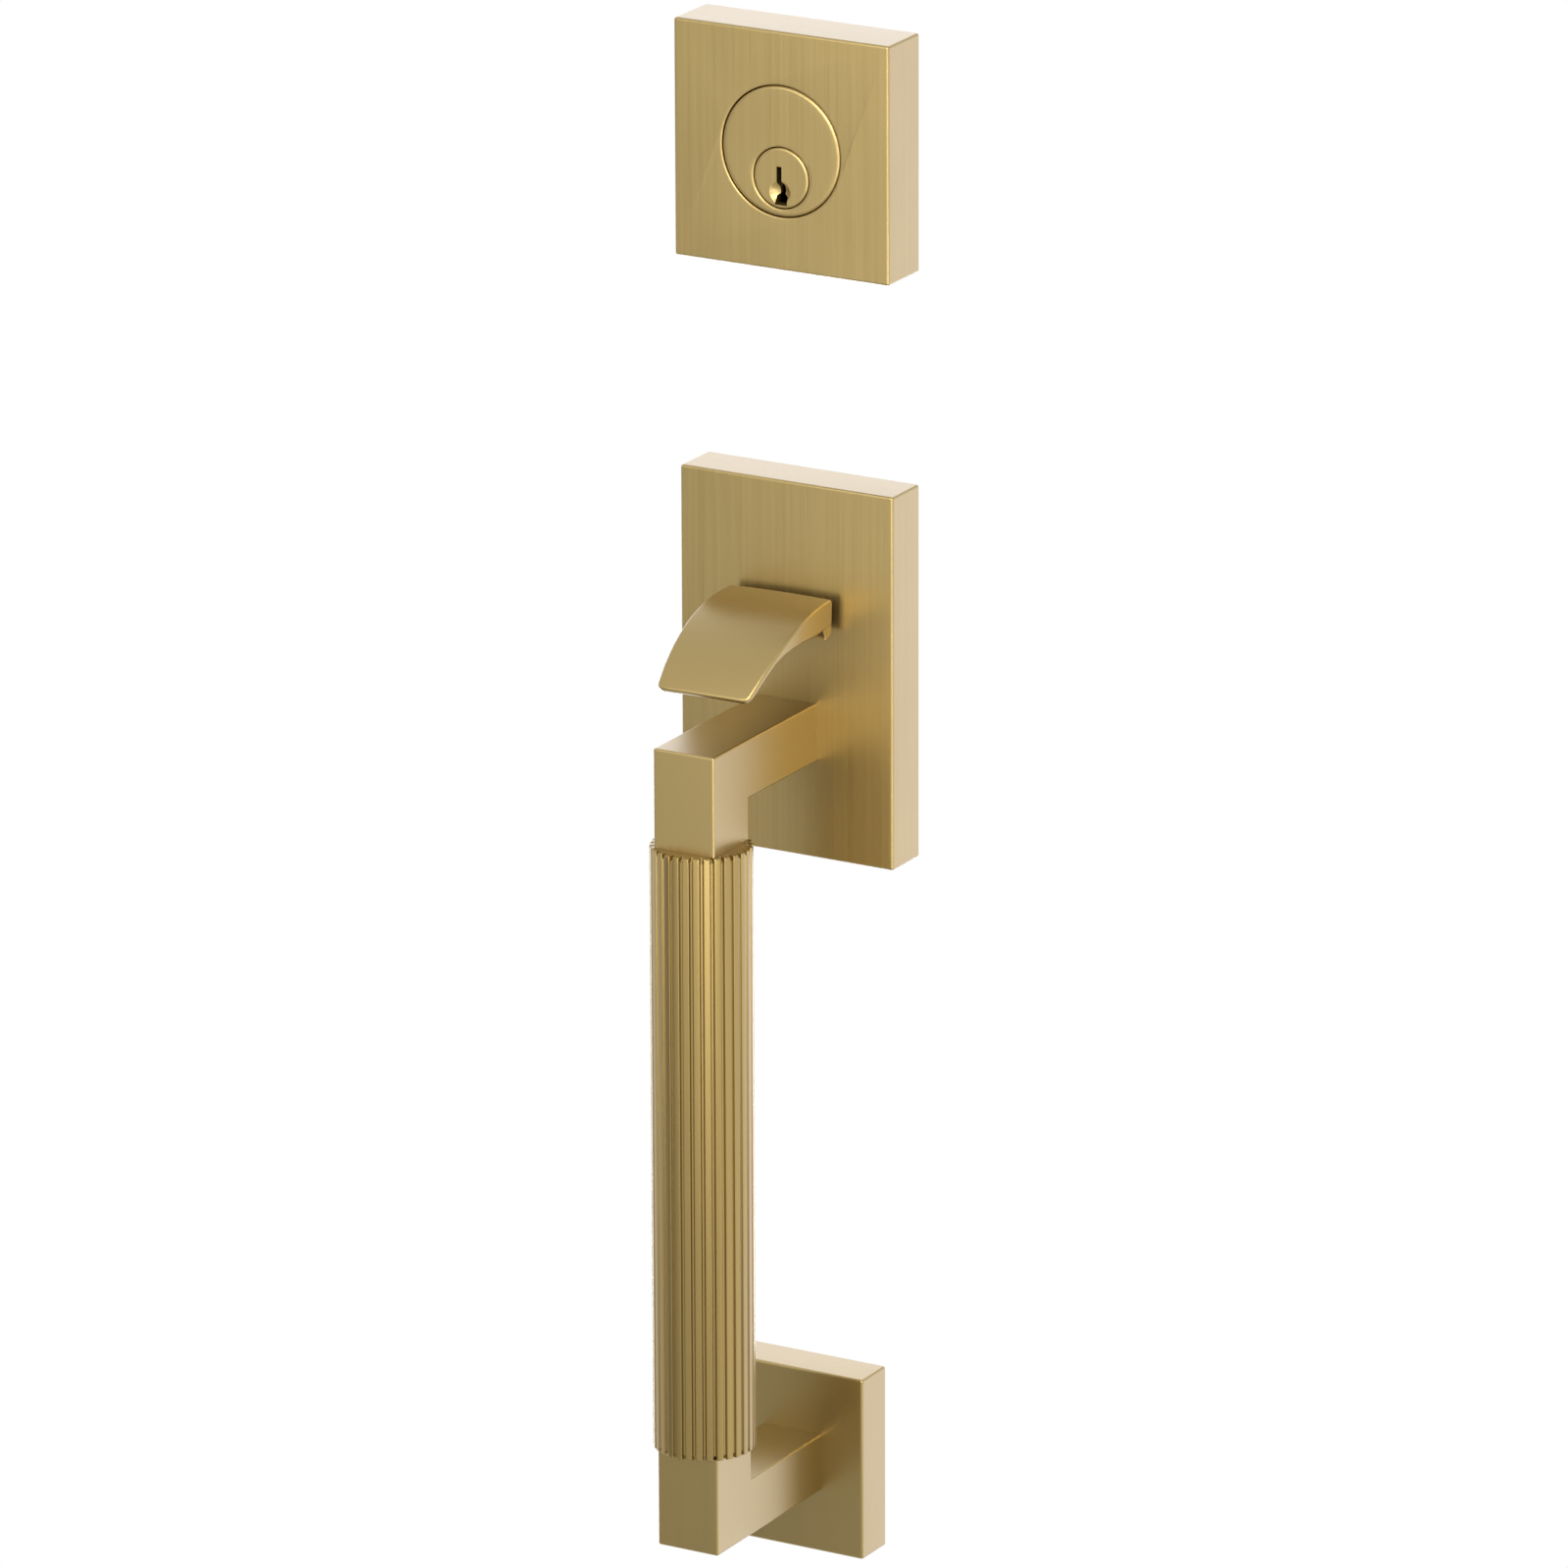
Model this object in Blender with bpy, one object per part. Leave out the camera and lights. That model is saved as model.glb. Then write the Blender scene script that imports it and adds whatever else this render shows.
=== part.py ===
# Entry door handleset: a square deadbolt unit above a thumbpiece grip with a fluted barrel.
# Metres. X runs right and Z up as seen from outside, and Y runs into the door.
# The origin is on the door face, in the middle of the upper cover's lower rim.

import math

import bpy
import bmesh
from mathutils import Vector

mm = 0.001

# Clearances
seatGap = 0.15 * mm      # between flat faces that seat on each other
fitGap = 0.3 * mm        # around pieces that slide into or turn in others
screwPitchGap = 0.3 * mm  # between a screw and the hole that it threads into

# Door layout
boreSpacing = 139.7 * mm  # latch bore to deadbolt bore
armDrop = 16.35 * mm      # middle of the grip's upper arm below the latch bore

# Finish of the visible castings
edgeRadius = 0.7 * mm
edgeSteps = 2

# Deadbolt cover
coverDepth = 15.9 * mm
coverWall = 2.6 * mm
holeChamfer = 0.25 * mm

# Key cylinder
faceDiameter = 35.4 * mm
faceThickness = 3.2 * mm
faceEdge = 0.6 * mm
flangeLip = 3.0 * mm       # flange outside the barrel
flangeThickness = 1.8 * mm
barrelDiameter = 34.0 * mm
barrelBack = 13.0 * mm     # the barrel ends this far behind the door face
plugDrop = 7.1 * mm        # plug axis below the middle of the face
plugHeadDiameter = 17.0 * mm
plugHeadLength = 3.0 * mm
plugDiameter = 12.7 * mm
plugTailLength = 2.6 * mm  # the plug stands this far out of the barrel
keywayDepth = 20.0 * mm
keywayWidth = 1.5 * mm
keywayLowWidth = 3.7 * mm
keywayTop = 3.3 * mm       # above the plug axis
wardStep = 0.7 * mm        # the ward pushes the slot this far sideways
wardHeight = 2.0 * mm
leadInDiameter = 6.6 * mm
leadInDepth = 1.6 * mm
leadInDrop = 3.6 * mm      # round lead-in below the plug axis

# Pins
pinCount = 5
pinPitch = 4.0 * mm
firstPinSetback = 8.5 * mm  # behind the cylinder face
pinDiameter = 2.9 * mm
driverLength = 5.6 * mm
shortestKeyPin = 3.6 * mm
keyPinStep = 0.55 * mm
keyPinTip = 0.45 * mm       # radius of the key pin's flat tip
keyPinCuts = (1, 4, 2, 5, 3)
springTurns = 4
springWire = 0.45 * mm
capWidth = 4.4 * mm
capThickness = 1.6 * mm
capSetIn = 0.5 * mm         # cap strip below the crown of the barrel

# Back end of the plug
retainerDiameter = 15.0 * mm
retainerThickness = 2.0 * mm
plugNeckDiameter = 9.0 * mm
tailpieceWidth = 7.0 * mm
tailpieceThickness = 2.4 * mm
tailpieceReach = 40.0 * mm  # behind the door face
tailpieceInset = 1.6 * mm

# Base plates, screws and through-bolt bushes
plateThickness = 1.8 * mm
plateCorner = 3.0 * mm
bossRadius = 3.3 * mm
screwRadius = 1.3 * mm
screwLength = 7.0 * mm
screwHeadRadius = 2.7 * mm
screwHeadDepth = 1.3 * mm
screwHeadSetIn = 0.1 * mm
driveRadius = 1.2 * mm        # hexagon recess, middle to corner
driveDepth = 0.8 * mm
bossInset = 4.8 * mm          # boss centre from the cover's inner walls
sleeveWall = 1.2 * mm
postRadius = 3.4 * mm
postBore = 2.1 * mm
postFlangeRadius = 4.4 * mm
postFlangeThickness = 1.5 * mm
postReach = 7.5 * mm
postMargin = 1.55 * mm        # between a post's flange and the cover's wall

# Upper escutcheon
upperWidth = 63.5 * mm
upperHeight = 101.6 * mm
upperDepth = 13.8 * mm
upperWall = 2.2 * mm
slotWidth = 25.4 * mm
slotBottomAboveBore = 13.4 * mm
slotTopAboveBore = 20.0 * mm

# Thumbpiece, from its heel forward to its tip
pivotAboveBore = 12.0 * mm
pivotSetback = 6.8 * mm        # pivot axis in front of the door face
heelGap = 2.6 * mm             # heel in front of the escutcheon
heelTopAboveBore = 21.95 * mm
heelDrop = 10.5 * mm           # the heel's lip below its top
lipThickness = 3.3 * mm
lipCorner = 0.8 * mm
lipCurve = 3.6 * mm            # radius of the hollow in front of the lip
lipSteps = 6
lipInset = 0.05 * mm           # the lip lies this far inside the blade's sides and back
bladeRadius = 48.5 * mm
bladeStartAngle = -2.65
bladeEndAngle = 50.5
bladeRootThickness = 7.2 * mm
bladeTipThickness = 2.0 * mm
bladeRootLength = 9.4 * mm     # full thickness to here, and thinner from there on
bladeTaperLength = 22.0 * mm
bladeWidth = 31.5 * mm
bladeBow = 2.3                 # how fast the sides curve in, per metre
bladeWidest = 16.4 * mm        # in front of the heel
bladeCorner = 1.8 * mm
bladeEdge = 0.6 * mm
bladeStations = 20
stationCrowding = 1.6          # crowds the stations towards the tip
tongueWidth = 23.4 * mm
tongueTopAboveBore = 19.3 * mm
tongueBottomAboveBore = 15.8 * mm
rootBottomAboveBore = 11.0 * mm
rootTopAboveBore = 19.3 * mm
rootReach = 3.8 * mm           # root block in front of the pivot axis
pivotTubeRadius = 4.0 * mm
pivotTubeOverhang = 1.8 * mm   # past each side of the tongue
tailHeight = 4.0 * mm
tailReach = 8.4 * mm           # behind the door face
legWidth = 2.8 * mm
legDepth = 4.0 * mm
footDrop = 3.25 * mm           # top of the foot below the bore centre
footThickness = 3.25 * mm
footInnerX = 5.2 * mm

# Pivot pin, ears and return spring
pivotPinRadius = 1.5 * mm
earGap = 2.4 * mm              # tongue to ear
earThickness = 2.0 * mm
earHeight = 8.4 * mm
pinHeadRadius = 2.8 * mm
pinHeadThickness = 1.2 * mm
clipThickness = 0.8 * mm
clipWall = 1.6 * mm
clipGrooveDepth = 0.3 * mm
pinEndLength = 1.4 * mm        # pin beyond its clip
lugHeight = 24.0 * mm          # underside above the bore centre
lugThickness = 1.6 * mm
lugWidth = 10.0 * mm
lugReach = 9.0 * mm
leverRoomBelow = 0.4 * mm      # lever opening below the tail at rest
leverRoomAbove = 2.1 * mm      # and above it, where the tail swings up
returnSpringX = -6.0 * mm
returnSpringY = 4.5 * mm
returnSpringRadius = 2.7 * mm
returnSpringWire = 0.8 * mm
returnSpringTurns = 5
springWindowGap = 0.6 * mm

# Spindle hub
hubRadius = 6.0 * mm
hubGrooveRadius = 5.0 * mm
ringThickness = 1.0 * mm
ringRadius = 8.6 * mm
discRadius = 9.0 * mm
discThickness = 2.1 * mm
discGap = 0.45 * mm            # behind the door face
camPinRadius = 1.5 * mm
camPinOffset = 7.0 * mm
camPinAngle = -12.0
camPinLength = 10.9 * mm
spindleSide = 6.35 * mm
spindleReach = 42.0 * mm
socketDepth = 3.6 * mm

# Grip
gripBar = 18.1 * mm
armHeight = 15.9 * mm
legThickness = 18.1 * mm
gripFront = 67.5 * mm          # front of the elbows from the door face
elbowLeg = 26.9 * mm           # outer side of an elbow to the barrel's end
elbowRadius = 0.6 * mm
armSpacing = 204.2 * mm        # middle of one arm to middle of the other
barrelRadius = 13.5 * mm
barrelBoreRadius = 6.0 * mm
ribCount = 30
ribDepth = 0.9 * mm
ribShare = 0.66                # part of the pitch that the rib's flat top takes
ribCorner = 0.25 * mm
ribFlank = 0.2 * mm            # how far a rib's side leans out to the groove's floor
ribEndChamfer = 0.6 * mm
spigotLength = 8.0 * mm
tieRodRadius = 3.0 * mm
tieRodGrip = 14.0 * mm         # length of rod inside each elbow

# Arm fixings
armSpigotRadius = 5.6 * mm
armScrewRadius = 2.5 * mm
armScrewDepth = 12.0 * mm
armScrewHeadRadius = 4.6 * mm
armScrewHeadHeight = 3.0 * mm
armWasherRadius = 7.6 * mm
armWasherThickness = 1.2 * mm

# Lower escutcheon
lowerWidth = 43.2 * mm
lowerHeight = 51.0 * mm
lowerDepth = 12.3 * mm
lowerWall = 2.2 * mm

# Facets
roundSteps = 28
fineSteps = 44
smallSteps = 16
tinySteps = 12

# Colours taken from the photograph: linear red, green, blue, then roughness and metallic value
finishes = {
    "satin_brass": ((0.56, 0.42, 0.20), 0.32, 1.0),
    "cylinder_brass": ((0.58, 0.45, 0.22), 0.28, 1.0),
    "inner_brass": ((0.50, 0.36, 0.14), 0.40, 1.0),
    "zinc_steel": ((0.55, 0.56, 0.57), 0.38, 1.0),
    "spring_steel": ((0.42, 0.43, 0.45), 0.30, 1.0),
}


def clearScene():
    for item in list(bpy.data.objects):
        bpy.data.objects.remove(item, do_unlink=True)


def finish(name):
    found = bpy.data.materials.get(name)
    if found:
        return found
    colour, roughness, metallic = finishes[name]
    material = bpy.data.materials.new(name)
    material.use_nodes = True
    shader = material.node_tree.nodes["Principled BSDF"]
    shader.inputs["Base Color"].default_value = (*colour, 1.0)
    shader.inputs["Roughness"].default_value = roughness
    shader.inputs["Metallic"].default_value = metallic
    material.diffuse_color = (*colour, 1.0)
    return material


def frameAt(name, place, parent=None):
    empty = bpy.data.objects.new(name, None)
    bpy.context.scene.collection.objects.link(empty)
    empty.parent = parent
    empty.location = place
    return empty


# Puts a bmesh into the scene as one object under its unit's frame.
def addPiece(name, shape, look, parent, place=(0, 0, 0), smooth=None):
    bmesh.ops.recalc_face_normals(shape, faces=shape.faces)
    mesh = bpy.data.meshes.new(name)
    shape.to_mesh(mesh)
    shape.free()
    if look:
        mesh.materials.append(finish(look))
    if smooth:
        mesh.shade_smooth()
        mesh.set_sharp_from_angle(angle=math.radians(smooth))
    piece = bpy.data.objects.new(name, mesh)
    bpy.context.scene.collection.objects.link(piece)
    piece.parent = parent
    piece.location = place
    return piece


# A tool shape that cuts or joins, and that the model itself leaves out.
def addTool(shape, parent, place=(0, 0, 0)):
    tool = addPiece("tool", shape, None, parent, place)
    tool.hide_render = True
    tool.display_type = "WIRE"
    return tool


def combine(piece, tool, operation):
    step = piece.modifiers.new(operation.lower(), "BOOLEAN")
    step.operation = operation
    step.solver = "EXACT"
    step.object = tool


def cut(piece, shape, place=(0, 0, 0)):
    combine(piece, addTool(shape, piece.parent, place), "DIFFERENCE")


def join(piece, shape, place=(0, 0, 0)):
    combine(piece, addTool(shape, piece.parent, place), "UNION")


# A point from its distance along an axis and two coordinates across it.
def onAxis(axis, along, u, v):
    if axis == "X":
        return Vector((along, u, v))
    if axis == "Y":
        return Vector((u, along, v))
    return Vector((u, v, along))


def block(xRange, yRange, zRange):
    shape = bmesh.new()
    bmesh.ops.create_cube(shape, size=1.0)
    for vert in shape.verts:
        vert.co.x = xRange[0] if vert.co.x < 0 else xRange[1]
        vert.co.y = yRange[0] if vert.co.y < 0 else yRange[1]
        vert.co.z = zRange[0] if vert.co.z < 0 else zRange[1]
    return shape


# A block whose edges are rounded, apart from those that lie wholly on its back face.
def easedBlock(xRange, yRange, zRange, radius):
    shape = block(xRange, yRange, zRange)
    back = yRange[1] - 1e-6
    eased = [edge for edge in shape.edges if min(vert.co.y for vert in edge.verts) < back]
    bmesh.ops.bevel(shape, geom=eased, offset=radius, segments=edgeSteps, profile=0.5, affect="EDGES")
    return shape


# An outline of (u, v) points pushed along an axis.
def prism(outline, axis, start, end):
    shape = bmesh.new()
    near = [shape.verts.new(onAxis(axis, start, u, v)) for u, v in outline]
    far = [shape.verts.new(onAxis(axis, end, u, v)) for u, v in outline]
    shape.faces.new(near)
    shape.faces.new(far)
    count = len(outline)
    for i in range(count):
        j = (i + 1) % count
        shape.faces.new((near[i], near[j], far[j], far[i]))
    return shape


# A profile of (radius, along) points turned about an axis. A profile that starts and ends
# on the axis makes a solid piece, and any other is closed into a ring.
def turned(profile, axis, steps):
    shape = bmesh.new()
    rings = []
    for radius, along in profile:
        if radius == 0:
            rings.append([shape.verts.new(onAxis(axis, along, 0, 0))])
            continue
        ring = []
        for i in range(steps):
            angle = math.tau * i / steps
            u = radius * math.cos(angle)
            v = radius * math.sin(angle)
            ring.append(shape.verts.new(onAxis(axis, along, u, v)))
        rings.append(ring)
    pairs = list(zip(rings, rings[1:]))
    if profile[0][0] > 0:
        pairs.append((rings[-1], rings[0]))
    for first, second in pairs:
        for i in range(steps):
            j = (i + 1) % steps
            if len(first) == 1:
                shape.faces.new((first[0], second[j], second[i]))
            elif len(second) == 1:
                shape.faces.new((first[i], first[j], second[0]))
            else:
                shape.faces.new((first[i], first[j], second[j], second[i]))
    return shape


def rod(radius, axis, start, end, steps=roundSteps):
    return turned([(0, start), (radius, start), (radius, end), (0, end)], axis, steps)


def tube(inner, outer, axis, start, end, steps=roundSteps):
    return turned([(inner, start), (outer, start), (outer, end), (inner, end)], axis, steps)


# A coil of round wire about Z, with its end turns closed flat on their seats.
def coil(radius, wire, turns, bottom, top, stepsPerTurn=10, sides=5):
    shape = bmesh.new()
    total = turns * stepsPerTurn
    low = bottom + wire / 2
    high = top - wire / 2
    rings = []
    for i in range(total + 1):
        share = i / total
        eased = min(max((share * turns - 0.5) / (turns - 1.0), 0.0), 1.0)
        angle = math.tau * share * turns
        middle = Vector((radius * math.cos(angle), radius * math.sin(angle), low + (high - low) * eased))
        outward = Vector((math.cos(angle), math.sin(angle), 0))
        ring = []
        for side in range(sides):
            turn = math.tau * side / sides + math.pi / 2
            offset = outward * math.cos(turn) + Vector((0, 0, 1)) * math.sin(turn)
            ring.append(shape.verts.new(middle + offset * wire / 2))
        rings.append(ring)
    for first, second in zip(rings, rings[1:]):
        for i in range(sides):
            j = (i + 1) % sides
            shape.faces.new((first[i], first[j], second[j], second[i]))
    shape.faces.new(rings[0])
    shape.faces.new(rings[-1])
    return shape


# A plate outline with its four corners cut at 45 degrees.
def cutCornerOutline(halfWidth, halfHeight, corner):
    return [
        (-halfWidth + corner, -halfHeight), (halfWidth - corner, -halfHeight),
        (halfWidth, -halfHeight + corner), (halfWidth, halfHeight - corner),
        (halfWidth - corner, halfHeight), (-halfWidth + corner, halfHeight),
        (-halfWidth, halfHeight - corner), (-halfWidth, -halfHeight + corner),
    ]


# A cover's four boss places, which keep their distance from its inner walls.
def bossCorners(width, height, wall):
    x = width / 2 - wall - bossInset
    z = height / 2 - wall - bossInset
    return [(-x, -z), (-x, z), (x, -z), (x, z)]


# A cast cover: an eased block, hollowed from the back, with a screw boss at each given place.
def castCover(name, unit, width, height, depth, wall, bossPlaces):
    halfWidth = width / 2
    halfHeight = height / 2
    outside = easedBlock((-halfWidth, halfWidth), (-depth, 0), (-halfHeight, halfHeight), edgeRadius)
    cover = addPiece(name, outside, "satin_brass", unit, smooth=30)
    inner = -depth + wall
    cut(cover, block(
        (-halfWidth + wall, halfWidth - wall), (inner, wall), (-halfHeight + wall, halfHeight - wall)))
    bossEnd = -plateThickness - seatGap
    for x, z in bossPlaces:
        join(cover, rod(bossRadius, "Y", inner - wall / 4, bossEnd, smallSteps), (x, 0, z))
        cut(cover, rod(screwRadius + screwPitchGap, "Y", bossEnd - screwLength, wall, tinySteps), (x, 0, z))
    return cover


# The steel plate inside a cover, flush with the door face, with countersunk screw holes.
def basePlate(name, unit, width, height, wall, bossPlaces):
    halfWidth = width / 2 - wall - fitGap
    halfHeight = height / 2 - wall - fitGap
    outline = cutCornerOutline(halfWidth, halfHeight, plateCorner)
    plate = addPiece(name, prism(outline, "Y", -plateThickness, 0), "zinc_steel", unit)
    for x, z in bossPlaces:
        cut(plate, countersink(), (x, 0, z))
    return plate


# The space that a flat-head screw takes in a plate, a little larger than the screw all round.
def countersink():
    hole = screwRadius + fitGap
    mouth = screwHeadRadius + fitGap
    return turned([
        (0, -plateThickness * 2), (hole, -plateThickness * 2), (hole, -screwHeadDepth),
        (mouth, -screwHeadSetIn), (mouth, plateThickness), (0, plateThickness),
    ], "Y", tinySteps)


# A flat-head screw whose head lies just inside the door face.
def plateScrew(name, unit, place):
    head = -screwHeadSetIn
    neck = head - screwHeadDepth
    screw = addPiece(name, turned([
        (0, -plateThickness - screwLength), (screwRadius, -plateThickness - screwLength),
        (screwRadius, neck), (screwHeadRadius, head), (0, head),
    ], "Y", tinySteps), "zinc_steel", unit, place, smooth=30)
    cut(screw, rod(driveRadius, "Y", head - driveDepth, plateThickness, 6), place)


def plateScrews(name, unit, places):
    for number, (x, z) in enumerate(places, 1):
        plateScrew(name + "_" + str(number), unit, (x, 0, z))


# A flanged bush, open at its back, that an inside through-bolt screws into.
def throughBoltPost(name, unit, place):
    flangeBack = -plateThickness - seatGap
    flangeFront = flangeBack - postFlangeThickness
    addPiece(name, turned([
        (0, flangeFront), (postFlangeRadius, flangeFront), (postFlangeRadius, flangeBack),
        (postRadius, flangeBack), (postRadius, postReach), (postBore, postReach),
        (postBore, -plateThickness), (0, -plateThickness),
    ], "Y", smallSteps), "zinc_steel", unit, place, smooth=30)


def postHole(plate, place):
    cut(plate, rod(postRadius + fitGap, "Y", -plateThickness * 2, plateThickness, smallSteps), place)


# Both outlines of the keyway: a narrow warded slot above and a wider one below.
def keywayOutline():
    half = keywayWidth / 2
    low = keywayLowWidth / 2
    bottom = -plugHeadDiameter / 2
    neck = -leadInDrop
    above = keywayTop - wardHeight
    bend = above - wardHeight / 2
    return [
        (-half, keywayTop), (half, keywayTop), (half, above), (half + wardStep, bend),
        (half + wardStep, neck + wardHeight), (half, neck + wardHeight / 2),
        (low, neck - wardHeight), (low, bottom), (-low, bottom), (-low, neck - wardHeight),
        (-half, neck), (-half + wardStep / 2, neck + wardHeight), (-half + wardStep / 2, bend),
        (-half, above),
    ]


# Around the cylinder stand its spacer sleeve, then the bushes, then the cover's wall.
sleeveInner = barrelDiameter / 2 + fitGap
sleeveOuter = sleeveInner + sleeveWall
postOffset = sleeveOuter + fitGap + postFlangeRadius
coverSide = 2 * (postOffset + postFlangeRadius + postMargin + coverWall)  # 63.5 mm
flangeDiameter = barrelDiameter + 2 * flangeLip


# Pin places along Y, from the front of the cylinder backwards.
def pinPlaces():
    return [-coverDepth + firstPinSetback + pinPitch * i for i in range(pinCount)]


# Heights above the plug axis that the pins, springs and cap share.
shearHeight = plugDiameter / 2
driverBottom = shearHeight + fitGap
driverTop = driverBottom + driverLength
capTop = barrelDiameter / 2 + plugDrop - capSetIn
capBottom = capTop - capThickness
springBottom = driverTop + seatGap
springTop = capBottom - seatGap
pinHole = pinDiameter / 2 + fitGap
keyPinTop = shearHeight - fitGap / 2
chamberFloor = keyPinTop - shortestKeyPin - keyPinStep * max(keyPinCuts) - fitGap


def cylinderBody(unit, plugUnit):
    face = -coverDepth
    faceBack = face + faceThickness
    flangeBack = faceBack + flangeThickness
    radius = faceDiameter / 2
    body = addPiece("cylinder_body", turned([
        (0, face), (radius - faceEdge, face), (radius, face + faceEdge), (radius, faceBack),
        (flangeDiameter / 2, faceBack), (flangeDiameter / 2, flangeBack),
        (barrelDiameter / 2, flangeBack), (barrelDiameter / 2, barrelBack), (0, barrelBack),
    ], "Y", fineSteps), "cylinder_brass", unit, smooth=30)
    drop = (0, 0, -plugDrop)
    step = face + plugHeadLength + fitGap
    cut(body, turned([
        (0, face - faceThickness), (plugHeadDiameter / 2 + fitGap, face - faceThickness),
        (plugHeadDiameter / 2 + fitGap, step), (plugDiameter / 2 + fitGap, step),
        (plugDiameter / 2 + fitGap, barrelBack + faceThickness), (0, barrelBack + faceThickness),
    ], "Y", roundSteps), drop)
    for y in pinPlaces():
        cut(body, rod(pinHole, "Z", 0, capTop, tinySteps), (0, y, -plugDrop))
    half = capWidth / 2 + fitGap
    first = pinPlaces()[0] - pinPitch
    last = pinPlaces()[-1] + pinPitch
    ledge = capBottom - plugDrop
    cut(body, block((-half, half), (first - fitGap, last + fitGap), (ledge - seatGap, barrelDiameter)))
    cap = block((-capWidth / 2, capWidth / 2), (first, last), (capBottom, capTop))
    addPiece("chamber_cap", cap, "inner_brass", plugUnit)


def cylinderPlug(plugUnit):
    face = -coverDepth
    step = face + plugHeadLength
    neckStart = barrelBack + seatGap
    neckEnd = barrelBack + plugTailLength
    head = plugHeadDiameter / 2
    plug = addPiece("cylinder_plug", turned([
        (0, face), (head - faceEdge / 2, face), (head, face + faceEdge / 2), (head, step),
        (plugDiameter / 2, step), (plugDiameter / 2, neckStart),
        (plugNeckDiameter / 2, neckStart), (plugNeckDiameter / 2, neckEnd), (0, neckEnd),
    ], "Y", roundSteps), "cylinder_brass", plugUnit, smooth=30)
    cut(plug, prism(keywayOutline(), "Y", face - faceThickness, face + keywayDepth))
    cut(plug, turned([
        (0, face - faceThickness), (leadInDiameter / 2, face - faceThickness), (leadInDiameter / 2, face),
        (keywayWidth / 2, face + leadInDepth), (0, face + leadInDepth),
    ], "Y", smallSteps), (0, 0, -leadInDrop))
    for y in pinPlaces():
        cut(plug, rod(pinHole, "Z", chamberFloor, plugDiameter, tinySteps), (0, y, 0))
    half = tailpieceThickness / 2 + fitGap
    wide = tailpieceWidth / 2 + fitGap
    cut(plug, block(
        (-wide, wide), (neckEnd - tailpieceInset - fitGap, neckEnd + faceThickness), (-half, half)))
    addPiece("plug_retainer", tube(
        plugNeckDiameter / 2 + fitGap, retainerDiameter / 2, "Y",
        neckStart + seatGap, neckStart + seatGap + retainerThickness), "inner_brass", plugUnit, smooth=30)
    addPiece("tailpiece", block(
        (-tailpieceWidth / 2, tailpieceWidth / 2), (neckEnd - tailpieceInset, tailpieceReach),
        (-tailpieceThickness / 2, tailpieceThickness / 2)), "zinc_steel", plugUnit)


# Five stacks of key pin, driver pin and spring. The pins meet at the plug's surface, as the
# right key holds them.
def pinStacks(plugUnit):
    radius = pinDiameter / 2
    for number, (y, step) in enumerate(zip(pinPlaces(), keyPinCuts), 1):
        bottom = keyPinTop - shortestKeyPin - keyPinStep * step
        addPiece("key_pin_" + str(number), turned([
            (0, bottom), (keyPinTip, bottom), (radius, bottom + radius - keyPinTip),
            (radius, keyPinTop), (0, keyPinTop),
        ], "Z", tinySteps), "inner_brass", plugUnit, (0, y, 0), smooth=30)
        addPiece("driver_pin_" + str(number), rod(
            radius, "Z", driverBottom, driverTop, tinySteps),
            "inner_brass", plugUnit, (0, y, 0), smooth=30)
        addPiece("pin_spring_" + str(number), coil(
            radius - springWire / 2, springWire, springTurns, springBottom, springTop,
            stepsPerTurn=9, sides=4), "spring_steel", plugUnit, (0, y, 0), smooth=60)


def deadboltUnit(unit):
    plugUnit = frameAt("plug_axis", (0, 0, -plugDrop), unit)
    corners = bossCorners(coverSide, coverSide, coverWall)
    cover = castCover("deadbolt_housing", unit, coverSide, coverSide, coverDepth, coverWall, corners)
    hole = faceDiameter / 2 + fitGap
    cut(cover, turned([
        (0, -coverDepth * 2), (hole + holeChamfer, -coverDepth * 2), (hole + holeChamfer, -coverDepth),
        (hole, -coverDepth + holeChamfer), (hole, -coverDepth + coverWall * 2),
        (0, -coverDepth + coverWall * 2),
    ], "Y", fineSteps))
    cylinderBody(unit, plugUnit)
    cylinderPlug(plugUnit)
    pinStacks(plugUnit)
    plate = basePlate("deadbolt_base_plate", unit, coverSide, coverSide, coverWall, corners)
    cut(plate, rod(barrelDiameter / 2 + fitGap, "Y", -plateThickness * 2, plateThickness, fineSteps))
    plateScrews("deadbolt_plate_screw", unit, corners)
    sleeveFront = -coverDepth + faceThickness + flangeThickness + seatGap
    addPiece("cylinder_sleeve", tube(
        sleeveInner, sleeveOuter, "Y", sleeveFront, -plateThickness - seatGap), "zinc_steel", unit, smooth=30)
    for number, x in enumerate((-postOffset, postOffset), 1):
        postHole(plate, (x, 0, 0))
        throughBoltPost("deadbolt_post_" + str(number), unit, (x, 0, 0))


upperCorners = bossCorners(upperWidth, upperHeight, upperWall)
handlePostOffset = upperWidth / 2 - upperWall - postMargin - postFlangeRadius


# An arm's spigot hole with the washer and screw that hold the arm from inside a cover.
def armFixing(prefix, unit, cover, depth, wall, height):
    hole = rod(armSpigotRadius + fitGap, "Y", -depth - wall, -depth + wall * 2, smallSteps)
    cut(cover, hole, (0, 0, height))
    washerFront = -depth + wall + seatGap
    washerBack = washerFront + armWasherThickness
    headFront = washerBack + seatGap
    addPiece(prefix + "_arm_washer", tube(
        armScrewRadius + fitGap, armWasherRadius, "Y", washerFront, washerBack, smallSteps),
        "zinc_steel", unit, (0, 0, height), smooth=30)
    screw = addPiece(prefix + "_arm_screw", turned([
        (0, -depth - armScrewDepth), (armScrewRadius, -depth - armScrewDepth), (armScrewRadius, headFront),
        (armScrewHeadRadius, headFront), (armScrewHeadRadius, headFront + armScrewHeadHeight),
        (0, headFront + armScrewHeadHeight),
    ], "Y", smallSteps), "zinc_steel", unit, (0, 0, height), smooth=30)
    cut(screw, rod(armScrewRadius, "Y", headFront + armScrewHeadHeight / 3, 0, 6), (0, 0, height))


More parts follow.
